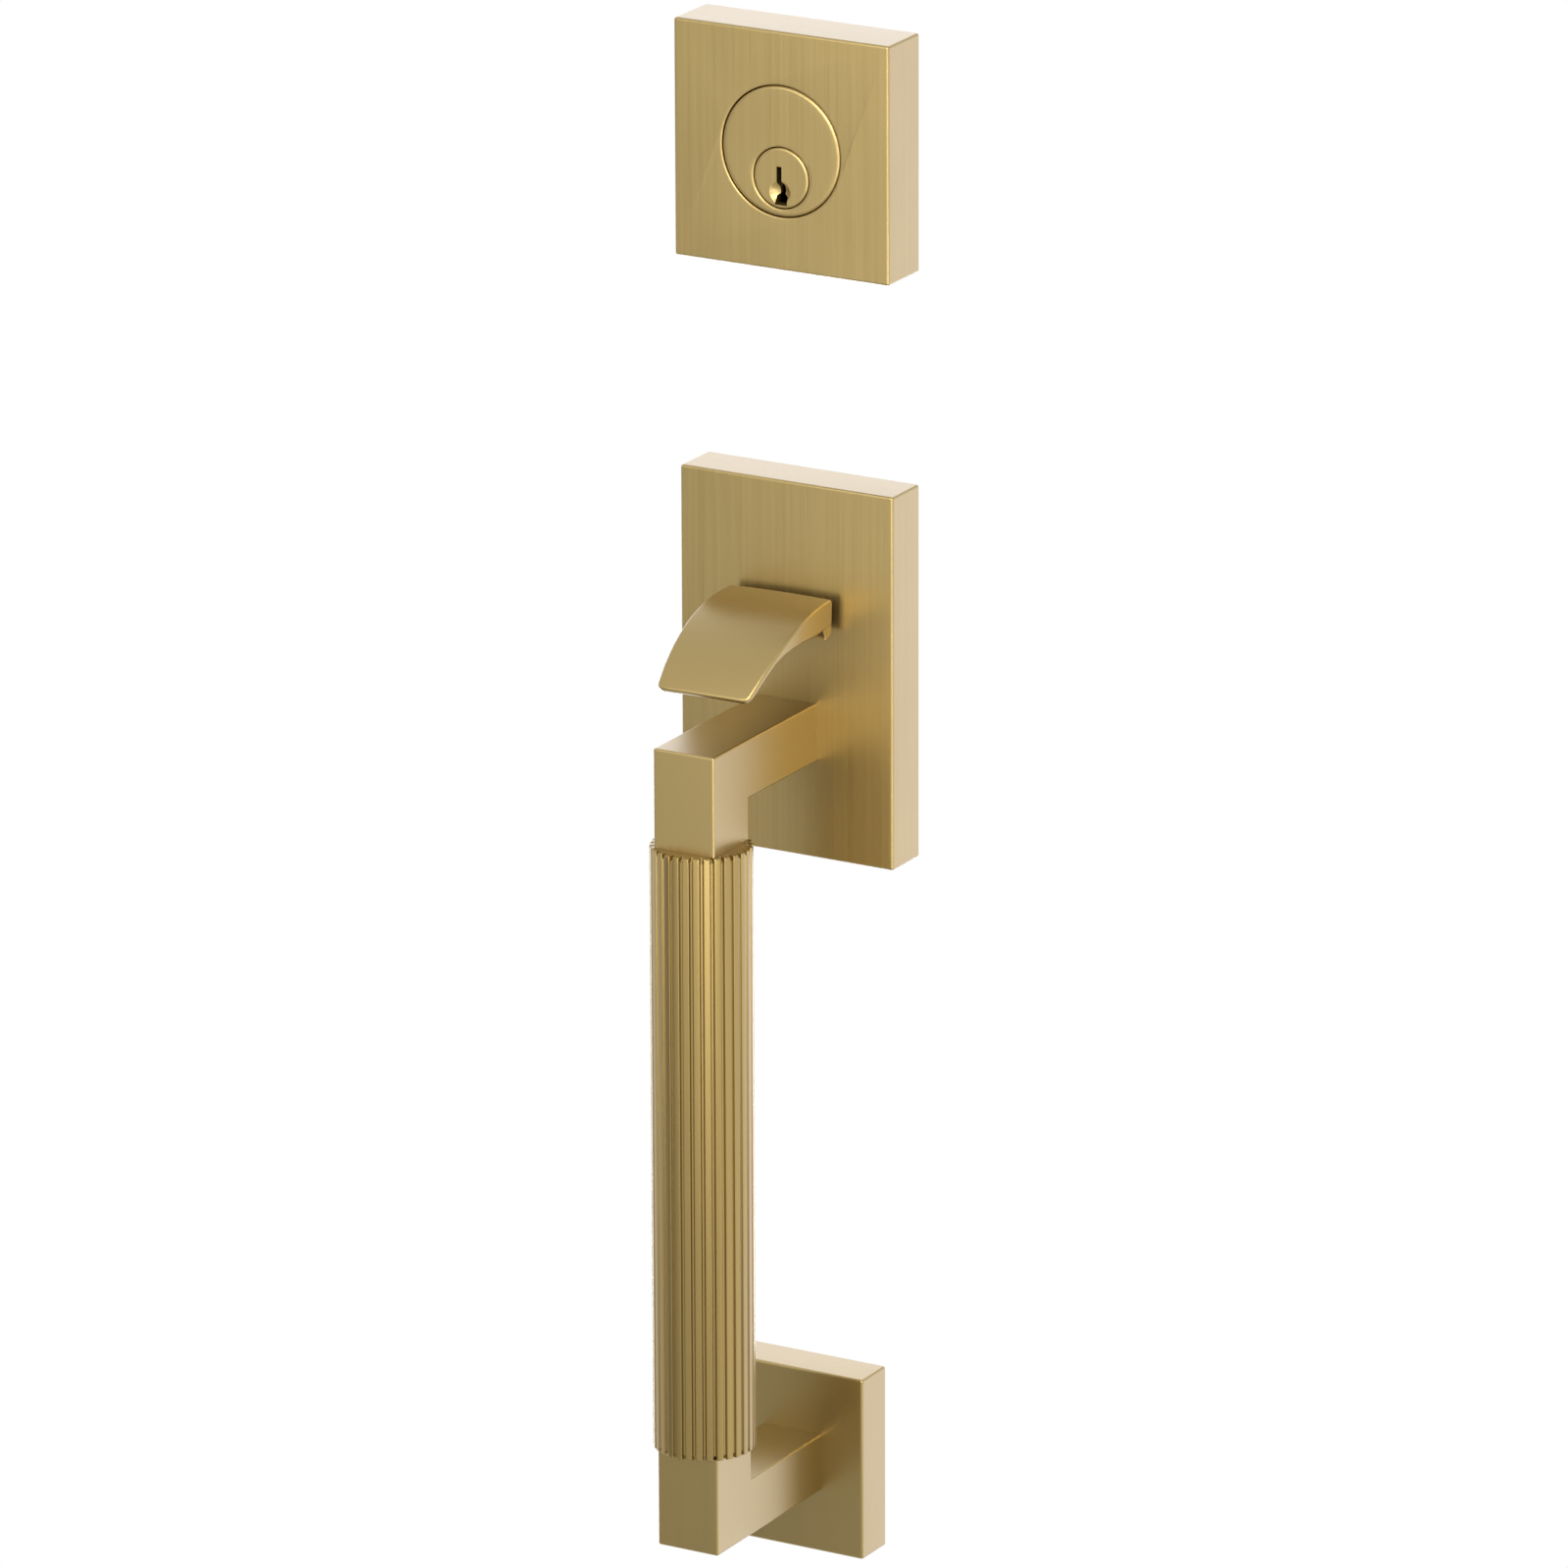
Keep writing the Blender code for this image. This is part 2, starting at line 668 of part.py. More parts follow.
def upperEscutcheon(unit):
    cover = castCover(
        "upper_escutcheon", unit, upperWidth, upperHeight, upperDepth, upperWall, upperCorners)
    cut(cover, block(
        (-slotWidth / 2, slotWidth / 2), (-upperDepth - upperWall, -upperDepth + upperWall * 2),
        (slotBottomAboveBore, slotTopAboveBore)))
    armFixing("upper", unit, cover, upperDepth, upperWall, -armDrop)


# The pivot ears stand just outside the thumbpiece's tongue.
earInner = tongueWidth / 2 + earGap
earOuter = earInner + earThickness


def chassisPlate(unit):
    plate = basePlate("chassis_plate", unit, upperWidth, upperHeight, upperWall, upperCorners)
    half = tongueWidth / 2 + 2 * fitGap
    through = (-plateThickness * 2, plateThickness)
    cut(plate, block((-half, half), through, (
        pivotAboveBore - tailHeight / 2 - leverRoomBelow, pivotAboveBore + tailHeight / 2 + leverRoomAbove)))
    window = returnSpringRadius + returnSpringWire / 2 + springWindowGap
    cut(plate, block((returnSpringX - window, returnSpringX + window), through, (
        pivotAboveBore, lugHeight + lugThickness / 2)))
    cut(plate, rod(hubRadius + fitGap, "Y", *through))
    for x in (-handlePostOffset, handlePostOffset):
        postHole(plate, (x, 0, 0))
    earFront = -pivotSetback - earHeight / 2
    for side in (-1, 1):
        ends = sorted((side * earInner, side * earOuter))
        join(plate, block(ends, (earFront, -plateThickness / 2), (
            pivotAboveBore - earHeight / 2, pivotAboveBore + earHeight / 2)))
    join(plate, block(
        (returnSpringX - lugWidth / 2, returnSpringX + lugWidth / 2), (-plateThickness / 2, lugReach),
        (lugHeight, lugHeight + lugThickness)))
    cut(plate, rod(pivotPinRadius + fitGap, "X", -upperWidth / 2, upperWidth / 2, smallSteps),
        (0, -pivotSetback, pivotAboveBore))
    plateScrews("chassis_screw", unit, upperCorners)
    for number, x in enumerate((-handlePostOffset, handlePostOffset), 1):
        throughBoltPost("handle_post_" + str(number), unit, (x, 0, 0))


# The blade's section at one station: a flat rectangle with small 45 degree edges, drawn
# across the curve of the top face. Angle 0 is level and grows as the blade turns down.
def bladeSection(angle, halfWidth, thickness):
    forward = -bladeRadius * (math.sin(angle) - math.sin(math.radians(bladeStartAngle)))
    drop = bladeRadius * (math.cos(math.radians(bladeStartAngle)) - math.cos(angle))
    top = Vector((0, forward, -drop))
    inward = Vector((0, math.sin(angle), -math.cos(angle)))
    edge = min(bladeEdge, thickness / 3)
    corners = (
        (-halfWidth + edge, 0), (halfWidth - edge, 0), (halfWidth, edge), (halfWidth, thickness - edge),
        (halfWidth - edge, thickness), (-halfWidth + edge, thickness),
        (-halfWidth, thickness - edge), (-halfWidth, edge),
    )
    return [top + Vector((x, 0, 0)) + inward * depth for x, depth in corners]


# Half the blade's width at a distance along it from the heel. The sides bow outwards.
def bladeHalfWidth(fromHeel):
    return bladeWidth / 2 - bladeBow * (fromHeel - bladeWidest) ** 2


# The blade is an arc seen from the side, thick at its root, and its front corners are round.
def bladeShape():
    shape = bmesh.new()
    start = math.radians(bladeStartAngle)
    end = math.radians(bladeEndAngle)
    length = bladeRadius * (end - start)
    rings = []
    for i in range(bladeStations + 1):
        share = 1 - (1 - i / bladeStations) ** stationCrowding
        fromHeel = length * share
        halfWidth = bladeHalfWidth(fromHeel)
        toTip = length - fromHeel
        if toTip < bladeCorner:
            halfWidth -= bladeCorner - math.sqrt(bladeCorner ** 2 - (bladeCorner - toTip) ** 2)
        taper = min(max((fromHeel - bladeRootLength) / bladeTaperLength, 0.0), 1.0)
        thickness = bladeRootThickness + (bladeTipThickness - bladeRootThickness) * taper
        section = bladeSection(start + (end - start) * share, halfWidth, thickness)
        rings.append([shape.verts.new(point) for point in section])
    for first, second in zip(rings, rings[1:]):
        for i in range(len(first)):
            j = (i + 1) % len(first)
            shape.faces.new((first[i], first[j], second[j], second[i]))
    shape.faces.new(rings[0])
    shape.faces.new(rings[-1])
    return shape


# The heel's lip hangs below the blade's root and hides the slot. Its front is a round hollow.
def heelLip():
    back = -lipInset
    inside = -bladeRootThickness / 2
    outline = [(back, inside), (back, -heelDrop + lipCorner), (back - lipCorner, -heelDrop)]
    for i in range(lipSteps + 1):
        turn = math.pi / 2 * i / lipSteps
        outline.append((
            -lipThickness - lipCurve * (1 - math.cos(turn)), -heelDrop + lipCurve * math.sin(turn)))
    outline.append((-lipThickness - lipCurve, inside))
    half = bladeHalfWidth(0) - lipInset
    return prism(outline, "X", -half, half)


# One casting. Its origin is on the pivot axis, and heights below are from there.
def thumbpiece(unit):
    pivot = (0, -pivotSetback, pivotAboveBore)
    heelBack = -upperDepth - heelGap
    heelTop = (0, heelBack, heelTopAboveBore)
    half = tongueWidth / 2
    piece = addPiece("thumbpiece", rod(
        pivotTubeRadius, "X", -half - pivotTubeOverhang, half + pivotTubeOverhang, smallSteps + 4),
        "satin_brass", unit, pivot, smooth=30)
    join(piece, bladeShape(), heelTop)
    join(piece, heelLip(), heelTop)
    join(piece, block((-half, half), (heelBack - lipThickness / 2, -pivotSetback), (
        tongueBottomAboveBore, tongueTopAboveBore)))
    join(piece, block((-half, half), (-pivotSetback - rootReach, -pivotSetback), (
        rootBottomAboveBore, rootTopAboveBore)))
    tailLow = pivotAboveBore - tailHeight / 2
    join(piece, block((-half, half), (-pivotSetback, tailReach), (tailLow, tailLow + tailHeight)))
    legBottom = -footDrop - footThickness
    legFront = tailReach - legDepth
    join(piece, block((half - legWidth, half), (legFront, tailReach), (legBottom, pivotAboveBore)))
    join(piece, block((footInnerX, half), (legFront, tailReach), (legBottom, -footDrop)))
    cut(piece, rod(pivotPinRadius + fitGap, "X", -upperWidth / 2, upperWidth / 2, smallSteps), pivot)
    headInner = earOuter + seatGap
    clipGroove = pivotPinRadius - clipGrooveDepth
    clipStart = -earOuter - seatGap
    clipEnd = clipStart - clipThickness - seatGap
    addPiece("thumb_pivot_pin", turned([
        (0, clipEnd - pinEndLength), (pivotPinRadius, clipEnd - pinEndLength),
        (pivotPinRadius, clipEnd), (clipGroove, clipEnd), (clipGroove, clipStart + seatGap),
        (pivotPinRadius, clipStart + seatGap),
        (pivotPinRadius, headInner), (pinHeadRadius, headInner),
        (pinHeadRadius, headInner + pinHeadThickness), (0, headInner + pinHeadThickness),
    ], "X", smallSteps), "zinc_steel", unit, pivot, smooth=30)
    addPiece("pivot_pin_clip", tube(
        clipGroove + fitGap / 2, clipGroove + clipWall, "X",
        clipStart - clipThickness, clipStart, smallSteps),
        "spring_steel", unit, pivot, smooth=30)
    springLow = tailLow + tailHeight + seatGap
    addPiece("thumb_return_spring", coil(
        returnSpringRadius, returnSpringWire, returnSpringTurns, springLow, lugHeight - seatGap),
        "spring_steel", unit, (returnSpringX, returnSpringY, 0), smooth=60)


def spindleParts(unit):
    discFront = discGap
    discBack = discFront + discThickness
    ringBack = -plateThickness - seatGap - fitGap
    ringFront = ringBack - ringThickness
    front = ringFront - fitGap - ringThickness
    hub = addPiece("spindle_hub", turned([
        (0, front), (hubRadius, front), (hubRadius, ringFront - seatGap),
        (hubGrooveRadius, ringFront - seatGap), (hubGrooveRadius, ringBack + seatGap),
        (hubRadius, ringBack + seatGap), (hubRadius, discFront), (discRadius, discFront),
        (discRadius, discBack), (0, discBack),
    ], "Y", roundSteps), "zinc_steel", unit, smooth=30)
    angle = math.radians(camPinAngle)
    camPin = (camPinOffset * math.cos(angle), 0, camPinOffset * math.sin(angle))
    pinStart = discFront + discThickness / 2
    join(hub, rod(camPinRadius, "Y", pinStart, discBack + camPinLength, smallSteps), camPin)
    half = spindleSide / 2 + fitGap / 2
    cut(hub, block((-half, half), (discBack - socketDepth - fitGap, discBack * 2), (-half, half)))
    addPiece("hub_retaining_ring", tube(
        hubGrooveRadius + fitGap / 2, ringRadius, "Y", ringFront, ringBack), "spring_steel", unit, smooth=30)
    side = spindleSide / 2
    addPiece("latch_spindle", block(
        (-side, side), (discBack - socketDepth, spindleReach), (-side, side)), "zinc_steel", unit)


# A square elbow: an arm out from a cover and a leg along the grip. The leg points down for
# direction -1 and up for 1. The origin is on the door face behind the middle of the arm.
def elbow(name, unit, direction, coverFront, wall):
    half = gripBar / 2
    seat = -coverFront - seatGap
    outer = -direction * armHeight / 2
    legEnd = outer + direction * elbowLeg
    armZ = sorted((outer, -outer))
    legZ = sorted((outer, legEnd))
    corner = [
        (-gripFront, outer), (seat, outer), (seat, -outer), (-gripFront + legThickness, -outer),
        (-gripFront + legThickness, legEnd), (-gripFront, legEnd),
    ]
    shape = prism(corner, "X", -half, half)
    soft = [edge for edge in shape.edges if not onSeat(edge, seat, legEnd)]
    bmesh.ops.bevel(shape, geom=soft, offset=elbowRadius, segments=edgeSteps, profile=0.5, affect="EDGES")
    piece = addPiece(name, shape, "satin_brass", unit, smooth=30)
    join(piece, rod(armSpigotRadius, "Y", seat - wall, -coverFront + wall - seatGap, smallSteps))
    cut(piece, rod(armScrewRadius + screwPitchGap, "Y", -coverFront - armScrewDepth - wall, 0, smallSteps))
    axis = (0, -gripFront + legThickness / 2, 0)
    spigot = sorted((legEnd - direction * spigotLength / 2, legEnd + direction * spigotLength))
    join(piece, rod(barrelBoreRadius - fitGap, "Z", *spigot), axis)
    bore = sorted((legEnd - direction * (tieRodGrip + fitGap), legEnd + direction * spigotLength * 2))
    cut(piece, rod(tieRodRadius + screwPitchGap, "Z", *bore, smallSteps), axis)
    return legEnd


# True for an edge that lies on the arm's seat or on the leg's end.
def onSeat(edge, seat, legEnd):
    arm = all(abs(vert.co.y - seat) < 1e-6 for vert in edge.verts)
    leg = all(abs(vert.co.z - legEnd) < 1e-6 for vert in edge.verts)
    return arm or leg


# The barrel's outline: flat-topped ribs with rounded corners and narrow grooves between them.
def ribOutline(radius):
    pitch = math.tau / ribCount
    floor = radius - ribDepth
    ribHalf = pitch * ribShare / 2
    corner = ribCorner / radius
    flank = ribFlank / radius
    points = []
    for i in range(ribCount):
        middle = pitch * i
        for turn, reach in (
            (-ribHalf - flank, floor), (-ribHalf, radius - ribCorner),
            (-ribHalf + corner, radius), (ribHalf - corner, radius),
            (ribHalf, radius - ribCorner), (ribHalf + flank, floor),
        ):
            points.append((reach * math.cos(middle + turn), reach * math.sin(middle + turn)))
    return points


# The barrel stands on Z. Its ribs are chamfered at both ends.
def flutedBarrel(unit, top, bottom):
    shape = bmesh.new()
    ends = (
        (bottom, barrelRadius - ribEndChamfer), (bottom + ribEndChamfer, barrelRadius),
        (top - ribEndChamfer, barrelRadius), (top, barrelRadius - ribEndChamfer),
    )
    rings = []
    for height, radius in ends:
        scale = radius / barrelRadius
        rings.append([shape.verts.new((x * scale, y * scale, height)) for x, y in ribOutline(barrelRadius)])
    for first, second in zip(rings, rings[1:]):
        for i in range(len(first)):
            j = (i + 1) % len(first)
            shape.faces.new((first[i], first[j], second[j], second[i]))
    shape.faces.new(rings[0])
    shape.faces.new(rings[-1])
    barrel = addPiece("fluted_barrel", shape, "satin_brass", unit, smooth=25)
    cut(barrel, rod(barrelBoreRadius, "Z", bottom - spigotLength, top + spigotLength))


def grip():
    gripUnit = frameAt("grip_unit", (0, 0, boreHeight - armDrop))
    lowerArm = frameAt("lower_arm_frame", (0, 0, -armSpacing), gripUnit)
    upperEnd = elbow("upper_elbow", gripUnit, -1, upperDepth, upperWall)
    lowerEnd = elbow("lower_elbow", lowerArm, 1, lowerDepth, lowerWall) - armSpacing
    barrelAxis = frameAt("barrel_axis", (0, -gripFront + legThickness / 2, 0), gripUnit)
    flutedBarrel(barrelAxis, upperEnd - seatGap, lowerEnd + seatGap)
    addPiece("grip_tie_rod", rod(
        tieRodRadius, "Z", lowerEnd - tieRodGrip, upperEnd + tieRodGrip, smallSteps),
        "zinc_steel", barrelAxis, smooth=30)


def lowerFoot():
    unit = frameAt("lower_unit", (0, 0, boreHeight - armDrop - armSpacing))
    places = bossCorners(lowerWidth, lowerHeight, lowerWall)[1:3]
    cover = castCover("lower_escutcheon", unit, lowerWidth, lowerHeight, lowerDepth, lowerWall, places)
    armFixing("lower", unit, cover, lowerDepth, lowerWall, 0)
    plate = basePlate("lower_base_plate", unit, lowerWidth, lowerHeight, lowerWall, places)
    postHole(plate, (0, 0, 0))
    throughBoltPost("lower_post", unit, (0, 0, 0))
    plateScrews("lower_plate_screw", unit, places)


# The latch bore's centre above the middle of the upper cover's lower rim.
boreHeight = upperHeight / 2 - upperWall / 2


def main():
    clearScene()
    handleUnit = frameAt("handle_unit", (0, 0, boreHeight))
    deadboltUnit(frameAt("deadbolt_unit", (0, 0, boreHeight + boreSpacing)))
    upperEscutcheon(handleUnit)
    chassisPlate(handleUnit)
    thumbpiece(handleUnit)
    spindleParts(handleUnit)
    grip()
    lowerFoot()


main()
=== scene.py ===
import math

import bmesh
import bpy
import numpy as np
from mathutils import Matrix, Vector


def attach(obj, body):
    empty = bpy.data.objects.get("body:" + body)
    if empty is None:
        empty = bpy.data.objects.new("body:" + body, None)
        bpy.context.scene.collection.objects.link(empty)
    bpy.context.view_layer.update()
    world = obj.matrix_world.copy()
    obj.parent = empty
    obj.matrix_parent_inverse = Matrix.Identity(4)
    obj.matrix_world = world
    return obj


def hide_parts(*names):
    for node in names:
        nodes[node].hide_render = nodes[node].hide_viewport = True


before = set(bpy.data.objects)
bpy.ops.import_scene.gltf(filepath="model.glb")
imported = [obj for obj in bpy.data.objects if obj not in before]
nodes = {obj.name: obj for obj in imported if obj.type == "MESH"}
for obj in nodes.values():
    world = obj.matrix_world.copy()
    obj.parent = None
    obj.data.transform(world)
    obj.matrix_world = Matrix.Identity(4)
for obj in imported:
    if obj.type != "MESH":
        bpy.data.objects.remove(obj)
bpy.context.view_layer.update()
mm = 0.001
mergeDistance = 0.001 * mm
flatWeight = 80             # how strongly large flat faces hold the shading of their edges
copyAngle = 55.0            # degrees; a copy of a CAD node stays sharp past this
print("frame loaded,", len(nodes), "nodes")

# Camera: the photograph's own view, worked out from corners of the covers and the grip.
camera = {
    "azimuth": 29.759, "elevation": 17.970, "roll": -0.190,   # degrees
    "target": (-8.74 * mm, 0.0, 12.57 * mm),
    "distance": 3243.18 * mm,
    "lens": 283.17, "sensor": 36.0,
    "clip": (0.1, 100.0),
}


def addCamera(look):
    az, el, roll = (math.radians(look[key]) for key in ("azimuth", "elevation", "roll"))
    ahead = Vector((-math.sin(az) * math.cos(el), math.cos(az) * math.cos(el), -math.sin(el)))
    level = Vector((math.cos(az), math.sin(az), 0))
    above = level.cross(ahead)
    right = level * math.cos(roll) + above * math.sin(roll)
    up = above * math.cos(roll) - level * math.sin(roll)
    data = bpy.data.cameras.new("photoCamera")
    data.lens, data.sensor_width = look["lens"], look["sensor"]
    data.clip_start, data.clip_end = look["clip"]
    holder = bpy.data.objects.new("photoCamera", data)
    bpy.context.scene.collection.objects.link(holder)
    turn = Matrix((right, up, -ahead)).transposed().to_4x4()
    turn.translation = Vector(look["target"]) - ahead * look["distance"]
    holder.matrix_world = turn
    bpy.context.scene.camera = holder


addCamera(camera)
bpy.context.scene.view_settings.view_transform = "Standard"


# One socket of a shader, with the signs of sums. The other side may be a socket or a number.
class Sock:
    def __init__(self, tree, socket):
        self.tree, self.socket = tree, socket

    def sum(self, operation, *others, clamp=False):
        node = self.tree.nodes.new("ShaderNodeMath")
        node.operation, node.use_clamp = operation, clamp
        for slot, value in zip(node.inputs, (self,) + others):
            feed(self.tree, slot, value)
        return Sock(self.tree, node.outputs[0])

    def __add__(self, other):
        return self.sum("ADD", other)

    def __mul__(self, other):
        return self.sum("MULTIPLY", other)

    def __sub__(self, other):
        return self.sum("SUBTRACT", other)

    def __truediv__(self, other):
        return self.sum("DIVIDE", other)

    def between(self, low, high):
        return ((self - low) / (high - low)).sum("ADD", 0.0, clamp=True)


def feed(tree, slot, value):
    if isinstance(value, Sock):
        tree.links.new(value.socket, slot)
    else:
        slot.default_value = value


# A material's node tree. node() adds any node: its type, its settings, then its inputs, by
# name or as i and a number.
class Shader:
    def __init__(self, name):
        self.material = bpy.data.materials.new(name)
        self.material.use_nodes = True
        self.tree = self.material.node_tree
        self.tree.nodes.clear()

    def node(self, kind, settings=None, out=0, **values):
        node = self.tree.nodes.new("ShaderNode" + kind)
        for key, value in (settings or {}).items():
            setattr(node, key, value)
        for key, value in values.items():
            slot = node.inputs[int(key[1:])] if key[0] == "i" and key[1:].isdigit() else node.inputs[key]
            feed(self.tree, slot, value)
        return Sock(self.tree, node.outputs[out])

    def place(self):
        return self.node("TexCoord", out="Object")

    def stretched(self, place, scale):
        return self.node("VectorMath", {"operation": "MULTIPLY"}, i0=place, i1=scale)

    def noise(self, place, scale, detail=2.0, roughness=0.5):
        return self.node(
            "TexNoise", out="Fac", Vector=place, Scale=scale, Detail=detail, Roughness=roughness)

    def mixed(self, share, first, second):
        return self.node("Mix", {"data_type": "RGBA"}, out=2, i0=share, i6=first, i7=second)

    def done(self, shader):
        output = self.tree.nodes.new("ShaderNodeOutputMaterial")
        self.tree.links.new(shader.socket, output.inputs["Surface"])
        return self.material


def colour(red, green, blue):
    return (red, green, blue, 1.0)


# Satin brass under clear lacquer. The grain is noise drawn out along the brushing direction:
# a fine one for the scratches and a broad one for the darker and lighter streaks.
grainDetail, scratchRoughness, streakRoughness = 3.0, 0.6, 0.65      # of the noises
scratchRange, streakRange, cloudShare = (0.25, 0.75), (0.3, 0.7), 0.5
grains = {
    "brushed": {
        "dark": colour(0.342, 0.238, 0.070), "light": colour(0.418, 0.304, 0.102),
        "across": 2600.0, "along": 40.0,        # scratches, per metre
        "streakAcross": 850.0, "streakAlong": 8.0,
        "cloud": 38.0,
        "roughness": 0.40, "roughnessSpread": 0.06, "anisotropy": 0.25, "turned": 0.25,
        "scratchDepth": 0.006 * mm, "streakDepth": 0.022 * mm,
        "streakShare": 0.5, "scratchShare": 0.3,
        "coat": 1.0, "coatRoughness": 0.32,
    },
    "satin": {
        "dark": colour(0.350, 0.247, 0.076), "light": colour(0.372, 0.265, 0.084),
        "across": 3000.0, "along": 160.0,
        "streakAcross": 300.0, "streakAlong": 18.0,
        "cloud": 45.0,
        "roughness": 0.36, "roughnessSpread": 0.04, "anisotropy": 0.0, "turned": 0.0,
        "scratchDepth": 0.003 * mm, "streakDepth": 0.004 * mm,
        "streakShare": 0.3, "scratchShare": 0.25,
        "coat": 1.0, "coatRoughness": 0.32,
    },
    # The ribbed barrel's tone is the satin brass painted about a sixth darker: painted shade on the
    # barrel
    "ribbed": {
        "dark": colour(0.290, 0.198, 0.052), "light": colour(0.313, 0.216, 0.060),
        "across": 3000.0, "along": 120.0,
        "streakAcross": 500.0, "streakAlong": 14.0,
        "cloud": 45.0,
        "roughness": 0.34, "roughnessSpread": 0.04, "anisotropy": 0.0, "turned": 0.0,
        "scratchDepth": 0.003 * mm, "streakDepth": 0.004 * mm,
        "streakShare": 0.3, "scratchShare": 0.25,
        "coat": 0.8, "coatRoughness": 0.30,
    },
}


def grainedBrass(name, look):
    s = Shader(name)
    place = s.place()
    across, along = look["across"], look["along"]
    wide, long = look["streakAcross"], look["streakAlong"]
    scratches = s.noise(s.stretched(place, (across, across, along)), 1.0, grainDetail, scratchRoughness)
    streaks = s.noise(s.stretched(place, (wide, wide, long)), 1.0, grainDetail, streakRoughness)
    cloud = s.noise(place, look["cloud"])
    scratch = scratches.between(*scratchRange)
    streak = streaks.between(*streakRange)
    shade = (scratch - 0.5) * look["scratchShare"] + (streak - 0.5) * look["streakShare"]
    share = (shade + (cloud - 0.5) * cloudShare + 0.5).sum("ADD", 0.0, clamp=True)
    rough = (streak - 0.5) * look["roughnessSpread"] + look["roughness"]
    height = scratches * look["scratchDepth"] + streaks * look["streakDepth"]
    bump = s.node("Bump", Strength=1.0, Distance=1.0, Height=height)
    return s.done(s.node("BsdfPrincipled", **{
        "Base Color": s.mixed(share, look["dark"], look["light"]),
        "Metallic": 1.0, "Roughness": rough, "Normal": bump,
        "Anisotropic": look["anisotropy"], "Anisotropic Rotation": look["turned"],
        "Coat Weight": look["coat"], "Coat Roughness": look["coatRoughness"],
    }))


# Bare metals of the hidden hardware: turned or stamped, with faint tool marks and blotches.
markDetail, markRoughness, toneRange, blotchRoughness = 3.0, 0.6, (0.3, 0.7), 0.25
hardware = {
    "inner_brass": {
        "dark": colour(0.50, 0.33, 0.11), "light": colour(0.66, 0.46, 0.18),
        "marks": (900.0, 900.0, 900.0), "cloud": 120.0, "roughness": 0.30, "markDepth": 0.006 * mm,
    },
    "zinc_steel": {
        "dark": colour(0.36, 0.36, 0.35), "light": colour(0.52, 0.52, 0.50),
        "marks": (700.0, 700.0, 1800.0), "cloud": 90.0, "roughness": 0.38, "markDepth": 0.010 * mm,
    },
    "spring_steel": {
        "dark": colour(0.30, 0.30, 0.31), "light": colour(0.48, 0.48, 0.49),
        "marks": (2400.0, 2400.0, 2400.0), "cloud": 200.0, "roughness": 0.28, "markDepth": 0.004 * mm,
    },
}


def bareMetal(name, look):
    s = Shader(name)
    place = s.place()
    marks = s.noise(s.stretched(place, look["marks"]), 1.0, markDetail, markRoughness)
    cloud = s.noise(place, look["cloud"], markDetail, markRoughness)
    share = (marks * 0.5 + cloud * 0.5).between(*toneRange)
    rough = (cloud - 0.5) * blotchRoughness + look["roughness"]
    bump = s.node("Bump", Strength=1.0, Distance=look["markDepth"], Height=marks)
    return s.done(s.node("BsdfPrincipled", **{
        "Base Color": s.mixed(share, look["dark"], look["light"]),
        "Metallic": 1.0, "Roughness": rough, "Normal": bump,
    }))


brushedBrass = grainedBrass("brushedBrass", grains["brushed"])
satinBrass = grainedBrass("satinBrass", grains["satin"])
# The barrel's brass is a darker copy of the satin brass: painted shade
shadedRibbedBrass = grainedBrass("shadedRibbedBrass", grains["ribbed"])
metals = {name: bareMetal(name + "Metal", look) for name, look in hardware.items()}
metals["satin_brass"] = satinBrass
metals["cylinder_brass"] = brushedBrass
for node in nodes.values():
    for slot in node.material_slots:
        slot.material = metals[slot.material.name.split(".")[0]]
print("materials made")


# A finished piece: its object at the origin, smooth up to the given angle, on its body.
def finishPiece(name, mesh, body, slotName, material, angle, *replaced):
    piece = bpy.data.objects.new(name, mesh)
    bpy.context.scene.collection.objects.link(piece)
    mesh.materials.clear()
    mesh.materials.append(material)
    mesh.shade_smooth()
    mesh.set_sharp_from_angle(angle=math.radians(angle))
    weights = piece.modifiers.new("flatFacesFlat", "WEIGHTED_NORMAL")
    weights.keep_sharp, weights.weight = True, flatWeight
    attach(piece, body)
    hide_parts(*replaced)
    return piece


# A merged copy of a CAD node, so that its small rounded edges shade as curves. A second mesh
# can be added to it, and moved() can shift the copy's own points first.
def smoothCopy(node, body, slotName, material, added=None, moved=None):
    mesh = nodes[node].data.copy()
    shape = bmesh.new()
    shape.from_mesh(mesh)
    bmesh.ops.remove_doubles(shape, verts=shape.verts, dist=mergeDistance)
    if moved:
        for vert in shape.verts:
            vert.co = moved(vert.co)
    if added:
        shape.from_mesh(added)
    shape.to_mesh(mesh)
    shape.free()
    for name in ("custom_normal", "sharp_face", "sharp_edge"):
        if name in mesh.attributes:
            mesh.attributes.remove(mesh.attributes[name])
    mesh.name = node + "_fine"
    return finishPiece(node + "_fine", mesh, body, slotName, material, copyAngle, node)


# One mesh from several grids of points. Each grid is rows x columns x 3; its rows are closed
# round their columns, and its first and last rows are closed with one face each. The rows of
# a ring close round on themselves instead.
def meshFrom(name, grids, rings=()):
    points, faces, start = [], [], 0
    for number, grid in enumerate([*grids, *rings]):
        rows, columns = grid.shape[:2]
        index = start + np.arange(rows * columns).reshape(rows, columns)
        ring = number >= len(grids)
        near, far = (index, np.roll(index, -1, 0)) if ring else (index[:-1], index[1:])
        quads = np.stack((near, np.roll(near, -1, 1), np.roll(far, -1, 1), far), -1)
        faces += quads.reshape(-1, 4).tolist()
        if not ring:
            faces += [index[0, ::-1].tolist(), index[-1].tolist()]
        points.append(grid.reshape(-1, 3))
        start += rows * columns
    mesh = bpy.data.meshes.new(name)
    mesh.from_pydata(np.concatenate(points), [], faces)
    shape = bmesh.new()
    shape.from_mesh(mesh)
    bmesh.ops.recalc_face_normals(shape, faces=shape.faces)
    shape.to_mesh(mesh)
    shape.free()
    return mesh


